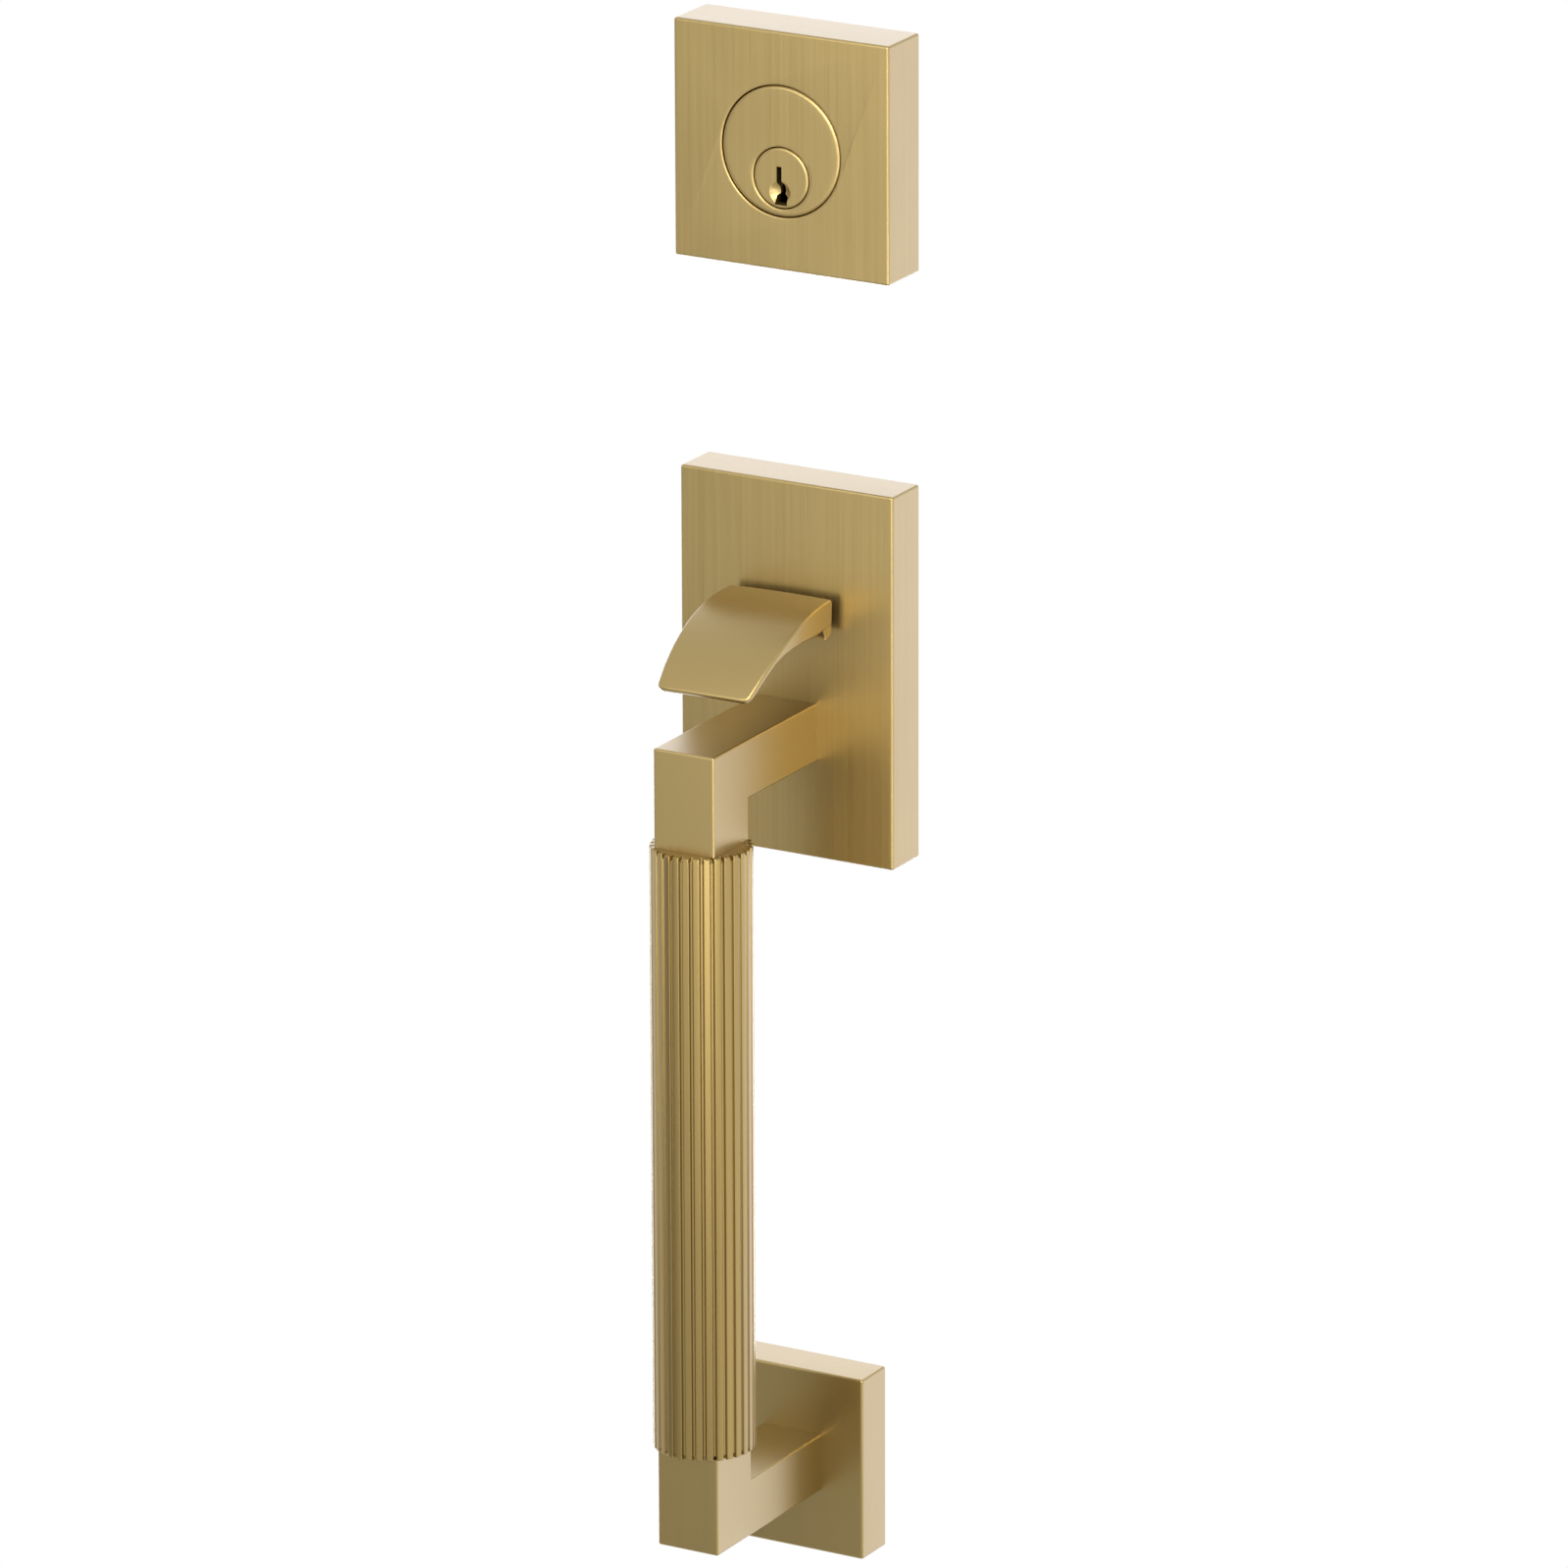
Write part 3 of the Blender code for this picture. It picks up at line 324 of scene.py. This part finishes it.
# The cylinder's face. Circles round its own middle and round the plug's axis below it.
cylinder = {
    "front": -15.9 * mm, "proud": 0.015 * mm, "middleZ": 189.4 * mm, "axisZ": 182.3 * mm,
    "columns": 160, "edgeSteps": 6, "flatSteps": 10, "faceSteps": 40,
    "housingHole": 17.55 * mm, "housingEdge": 0.45 * mm, "housingOut": 18.4 * mm,
    "faceRadius": 17.45 * mm, "faceEdge": 1.0 * mm, "faceBack": 2.2 * mm,
    "rimWas": 17.0 * mm, "rimTo": 17.2 * mm, "rimDepth": 3.0 * mm, "faceCleared": 1.3 * mm,
    "plugHole": 8.2 * mm, "plugHoleEdge": 0.55 * mm,
    "plugRadius": 8.1 * mm, "plugEdge": 0.7 * mm, "plugBack": 2.75 * mm, "plugCleared": 2.8 * mm,
    "dimple": (-0.3 * mm, -3.9 * mm), "dimpleRadius": 3.0 * mm, "dimpleDepth": 1.5 * mm,
    "keyway": (                             # corners of its right and left side: x and z in mm
        ((0.0, 3.0), (0.2, 3.0), (0.2, -1.0), (0.95, -1.9),
         (0.95, -3.6), (0.6, -4.3), (1.8, -5.0), (1.8, -7.2)),
        ((0.0, 3.0), (-1.25, 3.0), (-1.25, -1.8), (-0.8, -2.6),
         (-0.8, -4.3), (-1.7, -5.0), (-1.7, -7.2)),
    ),
    # The keyway's near-black is painted shade: it stands in for the dark inside the deep keyway
    "dark": colour(0.035, 0.026, 0.014), "paintedShadeRoughness": 0.6,
}


def circle(radius, middleZ, y, look):
    turn = np.linspace(0, 2 * math.pi, look["columns"], endpoint=False)
    return np.stack((radius * np.sin(turn), np.full(turn.size, y), middleZ + radius * np.cos(turn)), -1)


# Rows of a quarter round between a flat face and a wall at the given radius. The wall is
# outside the face for side 1 and inside it for side -1.
def edgeRows(radius, edge, middleZ, look, side):
    turn = np.linspace(0, math.pi / 2, look["edgeSteps"])
    front = look["front"] - look["proud"]
    return [
        circle(radius - side * edge * (1 - math.sin(t)), middleZ, front + edge * (1 - math.cos(t)), look)
        for t in turn]


def housingLip(look):
    back = look["front"] + look["faceBack"]
    middle, out = look["middleZ"], look["housingOut"]
    rows = edgeRows(look["housingHole"], look["housingEdge"], middle, look, -1)
    rows += [
        circle(look["housingHole"], middle, back, look), circle(out, middle, back, look),
        circle(out, middle, look["front"] - look["proud"], look)]
    return np.stack(rows)


def cylinderFace(look):
    back = look["front"] + look["faceBack"]
    outer = edgeRows(look["faceRadius"], look["faceEdge"], look["middleZ"], look, 1)
    inner = edgeRows(look["plugHole"], look["plugHoleEdge"], look["axisZ"], look, -1)
    shares = np.linspace(0, 1, look["flatSteps"])[1:-1]
    flat = [inner[0] + (outer[0] - inner[0]) * share for share in shares]
    rows = inner[::-1] + flat + outer
    rows += [
        circle(look["faceRadius"], look["middleZ"], back, look),
        circle(look["plugHole"], look["axisZ"], back, look)]
    return np.stack(rows)


# Points spread evenly by length along straight pieces between corners, both ends included.
def along(corners, count):
    corners = np.array(corners) * mm
    lengths = np.concatenate(([0], np.cumsum(np.linalg.norm(np.diff(corners, axis=0), axis=1))))
    places = np.linspace(0, lengths[-1], count)
    return np.stack([np.interp(places, lengths, corners[:, k]) for k in (0, 1)], -1)


# The plug's front: from the keyway's deep end out to the face, over it to the rim and back.
# The face is sunk by a paraboloid, the lead-in dimple: depth (1 - (distance / radius)^2).
def plugFront(look):
    half = look["columns"] // 2
    right, left = look["keyway"]
    bottom = (0.0, right[-1][1])
    loop = np.concatenate((
        along(right + (bottom,), half + 1)[:-1], along(left + (bottom,), half + 1)[:0:-1]))
    front, deep = look["front"] - look["proud"], look["front"] + look["plugBack"]
    rim = edgeRows(look["plugRadius"], look["plugEdge"], look["axisZ"], look, 1)
    start = np.stack((loop[:, 0], np.full(len(loop), front), look["axisZ"] + loop[:, 1]), -1)
    shares = np.linspace(0, 1, look["faceSteps"])[:-1]
    face = np.stack([start + (rim[0] - start) * share for share in shares])
    x, z = look["dimple"]
    away = ((face[..., 0] - x) ** 2 + (face[..., 2] - look["axisZ"] - z) ** 2) / look["dimpleRadius"] ** 2
    face[..., 1] += look["dimpleDepth"] * np.clip(1 - away, 0, None)
    floor = start.copy()
    floor[:, 1] = deep
    return np.concatenate(([floor], face, rim, [circle(look["plugRadius"], look["axisZ"], deep, look)]))


# The copies give way to the finer fronts: the cylinder's rim goes in a little, and its face
# and the plug's head go back.
def rimGivesWay(point):
    away = math.hypot(point.x, point.z - cylinder["middleZ"])
    y, scale = max(point.y, cylinder["front"] + cylinder["faceCleared"]), 1.0
    if away > cylinder["rimWas"] and point.y < cylinder["front"] + cylinder["rimDepth"]:
        scale = cylinder["rimTo"] / away
    return Vector((point.x * scale, y, cylinder["middleZ"] + (point.z - cylinder["middleZ"]) * scale))


def headGivesWay(point):
    return Vector((point.x, max(point.y, cylinder["front"] + cylinder["plugCleared"]), point.z))


coverAdditions = {
    "deadbolt_housing": meshFrom("housingLip", [], [housingLip(cylinder)]),
    "upper_escutcheon": None,
}
levelNormal = 0.9           # faces whose normal has more Z than this are tops and undersides
for node, added in coverAdditions.items():
    cover = smoothCopy(node, "root", "satin_brass", brushedBrass, added=added)
    cover.data.materials.append(satinBrass)
    normals = np.zeros(len(cover.data.polygons) * 3)
    cover.data.polygons.foreach_get("normal", normals)
    level = np.abs(normals.reshape(-1, 3)[:, 2]) > levelNormal      # these aren't brushed
    cover.data.polygons.foreach_set("material_index", level.astype(np.int32))
smoothCopy("lower_escutcheon", "root", "satin_brass", satinBrass)
smoothCopy(
    "cylinder_body", "root", "cylinder_brass", brushedBrass,
    added=meshFrom("cylinderFace", [], [cylinderFace(cylinder)]), moved=rimGivesWay)
plugCopy = smoothCopy(
    "cylinder_plug", "plug", "cylinder_brass", brushedBrass,
    added=meshFrom("plugFront", [plugFront(cylinder)]), moved=headGivesWay)
# The plug's second material is near-black painted shade for the keyway's deep inside, not the metal's own
# colour
plugCopy.data.materials.append(bareMetal("keywayMetal", {
    **hardware["inner_brass"], "dark": cylinder["dark"], "light": cylinder["dark"],
    "roughness": cylinder["paintedShadeRoughness"]}))

# Painted shade, a near-black metal, is on the keyway's floor, which is the last face but one, and on the
# band of faces just before the front's own. It stands in for the dark deep inside the keyway. The
# keyway's walls come after that band and stay bright.
plugFaces = plugCopy.data.polygons
paintedShadeToEnd = (cylinder["faceSteps"] + cylinder["edgeSteps"] + 1) * cylinder["columns"] + 2
firstPaintedShade = len(plugFaces) - paintedShadeToEnd
for index in (*range(firstPaintedShade, firstPaintedShade + cylinder["columns"]), len(plugFaces) - 2):
    plugFaces[index].material_index = 1
print("covers and cylinder smoothed")

# Fluted barrel of the grip.
barrel = {
    "radius": 13.5 * mm, "bore": 6.0 * mm,
    "bottom": -151.75 * mm, "top": 14.25 * mm, "axisY": -58.45 * mm,
    "ribs": 30, "depth": 0.62 * mm, "flat": 0.66,
    "corner": 0.25 * mm, "flank": 0.16 * mm, "flankFoot": (0.6, 1.6), "cornerSteps": 4, "topSteps": 3,
    "chamfer": 0.25 * mm, "endRows": (0.0, 0.12, 0.25, 0.6, 1.0, 1.4),      # mm from each end
    "runOut": 1.4 * mm, "runDepth": 1.3 * mm, "sharpAngle": 40.0,
}


# Half of one rib from its middle outwards, as distance round the barrel and radius: the flat
# top, a quarter circle over the corner, the flank down to the groove's floor and its middle.
def halfRib(look):
    pitch = 2 * math.pi * look["radius"] / look["ribs"]
    edge = pitch * look["flat"] / 2
    top = np.linspace(0, edge - look["corner"], look["topSteps"])
    turn = np.linspace(0, math.pi / 2, look["cornerSteps"] + 1)[1:]
    around = np.concatenate((top, edge - look["corner"] + look["corner"] * np.sin(turn)))
    out = np.concatenate((
        np.full(top.shape, look["radius"]), look["radius"] - look["corner"] * (1 - np.cos(turn))))
    floor = look["radius"] - look["depth"]
    foot = [edge + look["flank"] * share for share in look["flankFoot"]]
    around = np.append(around, (*foot, pitch / 2))
    out = np.append(out, (floor + look["flank"], floor, floor))
    return around, out, pitch


# The barrel is the rib outline carried along Z. Near each end the grooves run out deeper, in
# a straight line with the height, and a cone cuts the ribs' ends at 45 degrees. The bore
# closes it.
def flutedBarrel(look):
    half, out, pitch = halfRib(look)
    around = np.concatenate((-half[:0:-1], half))[1:]
    radius = np.concatenate((out[:0:-1], out))[1:]
    turns = (np.arange(look["ribs"])[:, None] * pitch + around[None, :]).ravel() / look["radius"]
    radius = np.tile(radius, look["ribs"])
    steps = np.array(look["endRows"]) * mm
    heights = np.concatenate((look["bottom"] + steps, look["top"] - steps[::-1]))
    fromEnd = np.concatenate((steps, steps[::-1]))[:, None]
    groove = (look["radius"] - radius) / look["depth"]
    rows = radius - groove * look["runDepth"] * np.clip(1 - fromEnd / look["runOut"], 0, None)
    rows = np.minimum(rows, look["radius"] - look["chamfer"] + fromEnd)
    bore = np.full((1, radius.size), look["bore"])
    rows = np.concatenate((bore, rows, bore))
    heights = np.concatenate(([look["bottom"]], heights, [look["top"]]))
    return np.stack((
        rows * np.sin(turns), look["axisY"] - rows * np.cos(turns),
        np.broadcast_to(heights[:, None], rows.shape)), -1)


# The barrel wears the darker brass copy, which is painted shade
finishPiece(
    "fluted_barrel_fine", meshFrom("fluted_barrel_fine", [], [flutedBarrel(barrel)]),
    "root", "satin_brass", shadedRibbedBrass, barrel["sharpAngle"], "fluted_barrel")
print("barrel made")

# Thumbpiece, given in its side view. Forwards is negative, and the latch bore is this high.
boreHeight = 49.7 * mm
thumb = {
    "heelBack": -16.4 * mm, "heelTop": boreHeight + 21.85 * mm,
    "radius": 48.5 * mm, "start": -2.65, "end": 50.5,          # arc of the blade's top, degrees
    "rootThickness": 7.2 * mm, "tipThickness": 2.0 * mm,
    "rootLength": 9.4 * mm, "taperLength": 22.0 * mm, "taperEase": 0.35,
    "halfWidth": 15.75 * mm, "widest": 17.0 * mm,
    "bowBack": 2.0, "bowLeft": 1.2, "bowRight": 4.3,           # per metre
    "corner": 1.8 * mm, "edge": 0.7 * mm, "heelEdge": 0.5 * mm, "crown": 0.30 * mm,
    "edgeShare": 0.45, "edgeRoom": 0.98,       # most of the thickness that an edge's round takes
    "roll": 0.012,                                             # it hangs a little lower at the left
    "stations": 96, "acrossSteps": 14, "edgeSteps": 5, "sharpAngle": 42.0,
}


# Outline of a section as corner places (-1..1 each way) and outward directions: along the
# top, round a corner, down the side, round, along the bottom, round, up the side, round.
def sectionPath(acrossSteps, edgeSteps):
    across = np.linspace(-1, 1, acrossSteps)
    turn = np.linspace(0, math.pi / 2, edgeSteps + 1)
    ones = np.ones_like(turn)
    corners = []
    for number, (x, y) in enumerate(((1, -1), (1, 1), (-1, 1), (-1, -1))):
        angle = turn - math.pi / 2 + number * math.pi / 2
        corners.append(np.stack((x * ones, y * ones, np.cos(angle), np.sin(angle)), -1))
    flat = np.zeros_like(across)
    top = np.stack((across, flat - 1, flat, flat - 1), -1)[1:-1]
    bottom = np.stack((-across, flat + 1, flat, flat + 1), -1)[1:-1]
    return np.concatenate((top, corners[0], corners[1], bottom, corners[2], corners[3]))


# The blade: a rounded rectangle carried along an arc. Its half width is a parabola along the
# arc, steeper at the right of the tip, its thickness tapers by a straight line blended with
# the curve 3t^2 - 2t^3, the tip's corners are circles, and the top is crowned across.
def blade(look):
    start, end = math.radians(look["start"]), math.radians(look["end"])
    length = look["radius"] * (end - start)
    share = 0.5 - 0.5 * np.cos(np.linspace(0, math.pi, look["stations"]))
    fromHeel = length * share
    toTip = length - fromHeel
    angle = start + (end - start) * share
    inCorner = np.clip(look["corner"] - toTip, 0, None)
    cornerCut = look["corner"] - np.sqrt(look["corner"] ** 2 - inCorner ** 2)
    left, right = (
        look["halfWidth"] - cornerCut - np.where(fromHeel < look["widest"], look["bowBack"], look[bow])
        * (fromHeel - look["widest"]) ** 2 for bow in ("bowLeft", "bowRight"))
    taper = np.clip((fromHeel - look["rootLength"]) / look["taperLength"], 0, 1)
    eased = taper * taper * (3 - 2 * taper)
    taper = eased * look["taperEase"] + taper * (1 - look["taperEase"])
    thickness = look["rootThickness"] + (look["tipThickness"] - look["rootThickness"]) * taper
    edge = np.minimum(look["edge"], thickness * look["edgeShare"])
    endEdge = np.where(share < 0.5, look["heelEdge"], edge)
    inEnd = np.clip(endEdge - np.minimum(toTip, fromHeel), 0, None)
    endCut = endEdge - np.sqrt(np.clip(endEdge ** 2 - inEnd ** 2, 0, None))
    middle, reach = thickness / 2, thickness / 2 - endCut
    path = sectionPath(look["acrossSteps"], look["edgeSteps"])
    edge = np.minimum(edge, reach * look["edgeRoom"])
    half, middleX = (left + right) / 2, (right - left) / 2
    x = middleX[:, None] + (half - edge)[:, None] * path[:, 0] + edge[:, None] * path[:, 2]
    depth = middle[:, None] + (reach - edge)[:, None] * path[:, 1] + edge[:, None] * path[:, 3]
    depth += look["crown"] * (x / look["halfWidth"]) ** 2
    forward = look["heelBack"] - look["radius"] * (np.sin(angle) - math.sin(start))
    height = look["heelTop"] - look["radius"] * (math.cos(start) - np.cos(angle))
    y = forward[:, None] + np.sin(angle)[:, None] * depth
    z = height[:, None] - np.cos(angle)[:, None] * depth + (x - look["halfWidth"]) * look["roll"]
    return np.stack((x, y, z), -1)


# An outline moved inwards by some distance: each corner goes along its mitre.
def inset(outline, distance):
    ahead = np.roll(outline, -1, 0) - outline
    ahead /= np.linalg.norm(ahead, axis=1)[:, None]
    normal = np.stack((ahead[:, 1], -ahead[:, 0]), -1)
    before = np.roll(normal, 1, 0)
    mitre = (normal + before) / (1 + (normal * before).sum(1))[:, None]
    y, z = outline.T
    area = (y * np.roll(z, -1) - z * np.roll(y, -1)).sum()
    return outline - mitre * distance * (1 if area > 0 else -1)


# A side view, y and z, carried across X. Its two ends are eased: the outline shrinks by a
# quarter circle over the last bit.
def acrossX(outline, low, high, ease=0.35 * mm, steps=4):
    outline = np.array(outline, dtype=float)
    turn = np.linspace(0, math.pi / 2, steps)
    shrink = ease * (1 - np.sin(turn))
    travel = ease * (1 - np.cos(turn))
    stations = np.concatenate((low + travel, high - travel[::-1]))
    shrink = np.concatenate((shrink, shrink[::-1]))
    rows = [inset(outline, s) for s in shrink]
    x = np.broadcast_to(stations[:, None], (stations.size, outline.shape[0]))
    flat = np.stack(rows)
    return np.stack((x, flat[..., 0], flat[..., 1]), -1)


# The grip's elbows. Each is a bent side view carried across X, with the same small round on
# every outer edge, and it ends square on its escutcheon and on the barrel.
elbows = {
    "halfWidth": 9.05 * mm, "front": -67.5 * mm, "legBack": -49.4 * mm,
    "round": 0.6 * mm, "steps": 5, "sharpAngle": 40.0,
    "upper": {"root": -13.805 * mm, "outer": 41.3 * mm, "inner": 25.4 * mm, "legEnd": 14.28 * mm},
    "lower": {"root": -12.305 * mm, "outer": -178.8 * mm, "inner": -162.9 * mm, "legEnd": -151.78 * mm},
}


# Corner of an outline rounded by a quarter circle between two directions.
def corner(point, first, second, radius, steps):
    turn = np.linspace(0, math.pi / 2, steps)[:, None]
    point, first, second = (np.array(v, dtype=float) for v in (point, first, second))
    return point + radius * (first * (1 - np.sin(turn)) + second * (1 - np.cos(turn)))


def elbowGrid(look, side):
    up = 1 if side["outer"] > side["inner"] else -1
    small, steps = look["round"], look["steps"]
    outline = np.concatenate((
        [(side["root"], side["outer"])],
        corner((look["front"], side["outer"]), (1, 0), (0, -up), small, steps),
        [(look["front"], side["legEnd"]), (look["legBack"], side["legEnd"])],
        [(look["legBack"], side["inner"]), (side["root"], side["inner"])]))
    grid = acrossX(outline, -look["halfWidth"], look["halfWidth"], small, steps)
    grid[:, [0, -1], 1] = side["root"]
    grid[:, [steps + 1, steps + 2], 2] = side["legEnd"]
    return grid


for name in ("upper", "lower"):
    finishPiece(
        name + "_elbow_fine", meshFrom(name + "_elbow_fine", [elbowGrid(elbows, elbows[name])]),
        "root", "satin_brass", satinBrass, elbows["sharpAngle"], name + "_elbow")
print("elbows made")

# The lip under the heel, and what goes from the heel through the cover to the spindle's cam.
lip = {
    "drop": 10.5 * mm, "thickness": 3.3 * mm, "corner": 2.4 * mm, "curve": 3.6 * mm,
    "inset": 0.05 * mm, "steps": 14,
}
neck = {
    "half": 11.7 * mm,
    "pivotY": -6.8 * mm, "pivotZ": 12.0 * mm, "pinHole": 1.8 * mm, "holeRoom": 2.2 * mm,
    "tubeRadius": 4.0 * mm, "tubeHalf": 13.5 * mm, "tubeEase": 0.3 * mm, "tubeSteps": 40,
    "tongueLow": 15.8 * mm, "tongueHigh": 19.3 * mm, "tongueInHeel": 1.6 * mm,
    "rootLow": 11.0 * mm, "rootHigh": 19.3 * mm, "rootFront": -10.6 * mm,
    "tailLow": 10.0 * mm, "tailHigh": 14.0 * mm, "tailBack": 8.4 * mm,
    "legWidth": 2.8 * mm, "legFront": 4.4 * mm,
    "footTop": -3.25 * mm, "footBottom": -6.5 * mm, "footInner": 5.2 * mm,
}


# The lip's side view: its back wall, a round at its foot, and the hollow in front of it.
def heelLip(look, top):
    back, high = top["heelBack"] - look["inset"], top["heelTop"]
    low, front = high - look["drop"], back - look["thickness"]
    turn = np.linspace(0, math.pi / 2, look["steps"])
    foot = np.stack((
        back - look["corner"] * (1 - np.cos(turn)), low + look["corner"] * (1 - np.sin(turn))), -1)
    hollow = np.stack((
        front - look["curve"] * (1 - np.cos(turn)), low + look["curve"] * np.sin(turn)), -1)
    inside = high - top["rootThickness"] / 2
    outline = np.concatenate(([(back, inside)], foot, hollow, [(front - look["curve"], inside)]))
    half = top["halfWidth"] - top["bowBack"] * top["widest"] ** 2 - look["inset"]
    return acrossX(outline, -half, half)


# The neck's blocks. The root and the tail end before the pin's hole, which the tube holds.
def neckParts(look, top):
    bore = boreHeight
    before, behind = look["pivotY"] - look["holeRoom"], look["pivotY"] + look["holeRoom"]
    inHeel = top["heelBack"] - look["tongueInHeel"]
    tongue = [
        (look["pivotY"], bore + look["tongueLow"]), (look["pivotY"], bore + look["tongueHigh"]),
        (inHeel, bore + look["tongueHigh"]), (inHeel, bore + look["tongueLow"])]
    root = [
        (before, bore + look["rootLow"]), (before, bore + look["rootHigh"]),
        (look["rootFront"], bore + look["rootHigh"]), (look["rootFront"], bore + look["rootLow"])]
    tail = [
        (behind, bore + look["tailLow"]), (look["tailBack"], bore + look["tailLow"]),
        (look["tailBack"], bore + look["tailHigh"]), (behind, bore + look["tailHigh"])]
    leg = [
        (look["legFront"], bore + look["footBottom"]), (look["tailBack"], bore + look["footBottom"]),
        (look["tailBack"], bore + look["pivotZ"]), (look["legFront"], bore + look["pivotZ"])]
    foot = [
        (look["legFront"], bore + look["footBottom"]), (look["tailBack"], bore + look["footBottom"]),
        (look["tailBack"], bore + look["footTop"]), (look["legFront"], bore + look["footTop"])]
    half = look["half"]
    return [
        acrossX(tongue, -half, half), acrossX(root, -half, half), acrossX(tail, -half, half),
        acrossX(leg, half - look["legWidth"], half), acrossX(foot, look["footInner"], half)]


# The pivot tube: a ring section carried round the pin.
def pivotTube(look):
    turn = np.linspace(0, 2 * math.pi, look["tubeSteps"], endpoint=False)
    hole, outer, half, ease = (look[key] for key in ("pinHole", "tubeRadius", "tubeHalf", "tubeEase"))
    profile = [
        (hole, -half), (outer - ease, -half), (outer, -half + ease),
        (outer, half - ease), (outer - ease, half), (hole, half)]
    rows = [np.stack((
        np.full(turn.size, x), look["pivotY"] + radius * np.cos(turn),
        boreHeight + look["pivotZ"] + radius * np.sin(turn)), -1) for radius, x in profile]
    return np.stack(rows)


finishPiece(
    "thumbpiece_fine", meshFrom("thumbpiece_fine", [
        blade(thumb), heelLip(lip, thumb), *neckParts(neck, thumb)], [pivotTube(neck)]),
    "thumb_lever", "satin_brass", satinBrass, thumb["sharpAngle"], "thumbpiece")
print("thumbpiece made")

# Floor far below, as under a door, soft panels behind and at the right, and one wide soft
# screen in front with a strip and a small bright panel before it. The camera sees none of
# the panels.
studio = {
    "floorHeight": -1.0, "floorHalf": 30.0, "floor": 0.86, "floorRoughness": 0.5,
    "world": 1.0,
    "panels": {
        # name: (centre, width, height, radiance, colour)
        "topBack": ((-0.71, 1.24, 0.46), 1.5, 1.5, 0.70, (0.96, 1.02, 1.28)),
        "leftBack": ((-0.80, 1.36, -0.60), 1.2, 0.8, 4.0, (1.0, 1.0, 1.0)),
        "rightBack": ((0.75, 1.30, -0.62), 1.9, 1.9, 0.60, (0.95, 1.0, 1.42)),
        "upRight": ((0.24, -0.52, 0.42), 0.30, 0.30, 12.0, (1.0, 0.97, 0.90)),
        "right": ((1.15, -0.05, -0.42), 1.2, 1.2, 0.45, (1.0, 1.0, 1.0)),
        "frontStrip": ((0.34, -0.50, -0.06), 0.5, 0.21, 4.0, (1.0, 0.98, 0.94)),
    },
    "aim": (0.0, -0.03, 0.02),
    "screen": {
        "y": -0.55, "x": (-0.90, 1.20), "z": (-0.95, 0.55),
        "middle": -0.305, "slope": 11.0, "low": 0.42, "high": 1.5,   # level 1 at the middle
        "flatBelow": (-0.25, -0.18),
        "dimBelow": (-0.42, -0.12), "dimTo": 0.66, "brightAbove": (0.20, 0.28), "brightTo": 2.2,
    },
}


def seenDirectly(s):
    ray = s.tree.nodes.new("ShaderNodeLightPath")
    direct, mirrored, through = (
        Sock(s.tree, ray.outputs["Is " + kind + " Ray"]) for kind in ("Camera", "Glossy", "Transmission"))
    return (direct + mirrored + through).sum("ADD", 0.0, clamp=True)


def addFloor(look):
    s = Shader("floorPaper")
    grey = look["floor"]
    paper = s.node("BsdfDiffuse", Color=colour(grey, grey, grey), Roughness=look["floorRoughness"])
    white = s.node("Emission", Color=colour(1, 1, 1), Strength=1.0)
    material = s.done(s.node("MixShader", i0=seenDirectly(s), i1=paper, i2=white))
    half, height = look["floorHalf"], look["floorHeight"]
    mesh = bpy.data.meshes.new("floor")
    mesh.from_pydata(
        [(-half, -half, height), (half, -half, height), (half, half, height), (-half, half, height)],
        [], [(0, 1, 2, 3)])
    mesh.materials.append(material)
    floor = bpy.data.objects.new("floor", mesh)
    bpy.context.scene.collection.objects.link(floor)


def addPanels(look):
    for name, (centre, width, height, radiance, tint) in look["panels"].items():
        data = bpy.data.lights.new(name, "AREA")
        data.shape, data.size, data.size_y, data.color = "RECTANGLE", width, height, tint
        data.energy = radiance * math.pi * width * height
        panel = bpy.data.objects.new(name, data)
        bpy.context.scene.collection.objects.link(panel)
        panel.location = centre
        aim = Vector(look["aim"]) - Vector(centre)
        panel.rotation_euler = aim.to_track_quat("-Z", "Y").to_euler()
        panel.visible_camera = False


# The screen's level is a straight ramp across, held between two levels, times one that rises
# with the height. Low down the ramp across goes no higher than 1.
def addScreen(look):
    s = Shader("softScreen")
    split = s.tree.nodes.new("ShaderNodeSeparateXYZ")
    s.tree.links.new(s.place().socket, split.inputs[0])
    x, z = Sock(s.tree, split.outputs[0]), Sock(s.tree, split.outputs[2])
    most = z.between(*look["flatBelow"]) * (look["high"] - 1) + 1.0
    across = (x - look["middle"]) * look["slope"] + 1.0
    across = across.sum("MAXIMUM", look["low"]).sum("MINIMUM", most)
    upward = (z.between(*look["dimBelow"]) * (1 - look["dimTo"]) + look["dimTo"]
              + z.between(*look["brightAbove"]) * (look["brightTo"] - 1))
    material = s.done(s.node("Emission", Color=colour(1, 1, 1), Strength=across * upward))
    (left, right), (low, high), y = look["x"], look["z"], look["y"]
    mesh = bpy.data.meshes.new("softScreen")
    mesh.from_pydata(
        [(left, y, low), (left, y, high), (right, y, high), (right, y, low)], [], [(0, 1, 2, 3)])
    mesh.materials.append(material)
    screen = bpy.data.objects.new("softScreen", mesh)
    bpy.context.scene.collection.objects.link(screen)
    screen.visible_camera = False


def addWorld(look):
    world = bpy.data.worlds.new("studioWorld")
    bpy.context.scene.world = world
    world.use_nodes = True
    world.node_tree.nodes["Background"].inputs["Color"].default_value = colour(1, 1, 1)
    world.node_tree.nodes["Background"].inputs["Strength"].default_value = look["world"]


addFloor(studio)
addPanels(studio)
addScreen(studio["screen"])
addWorld(studio)
print("studio made")
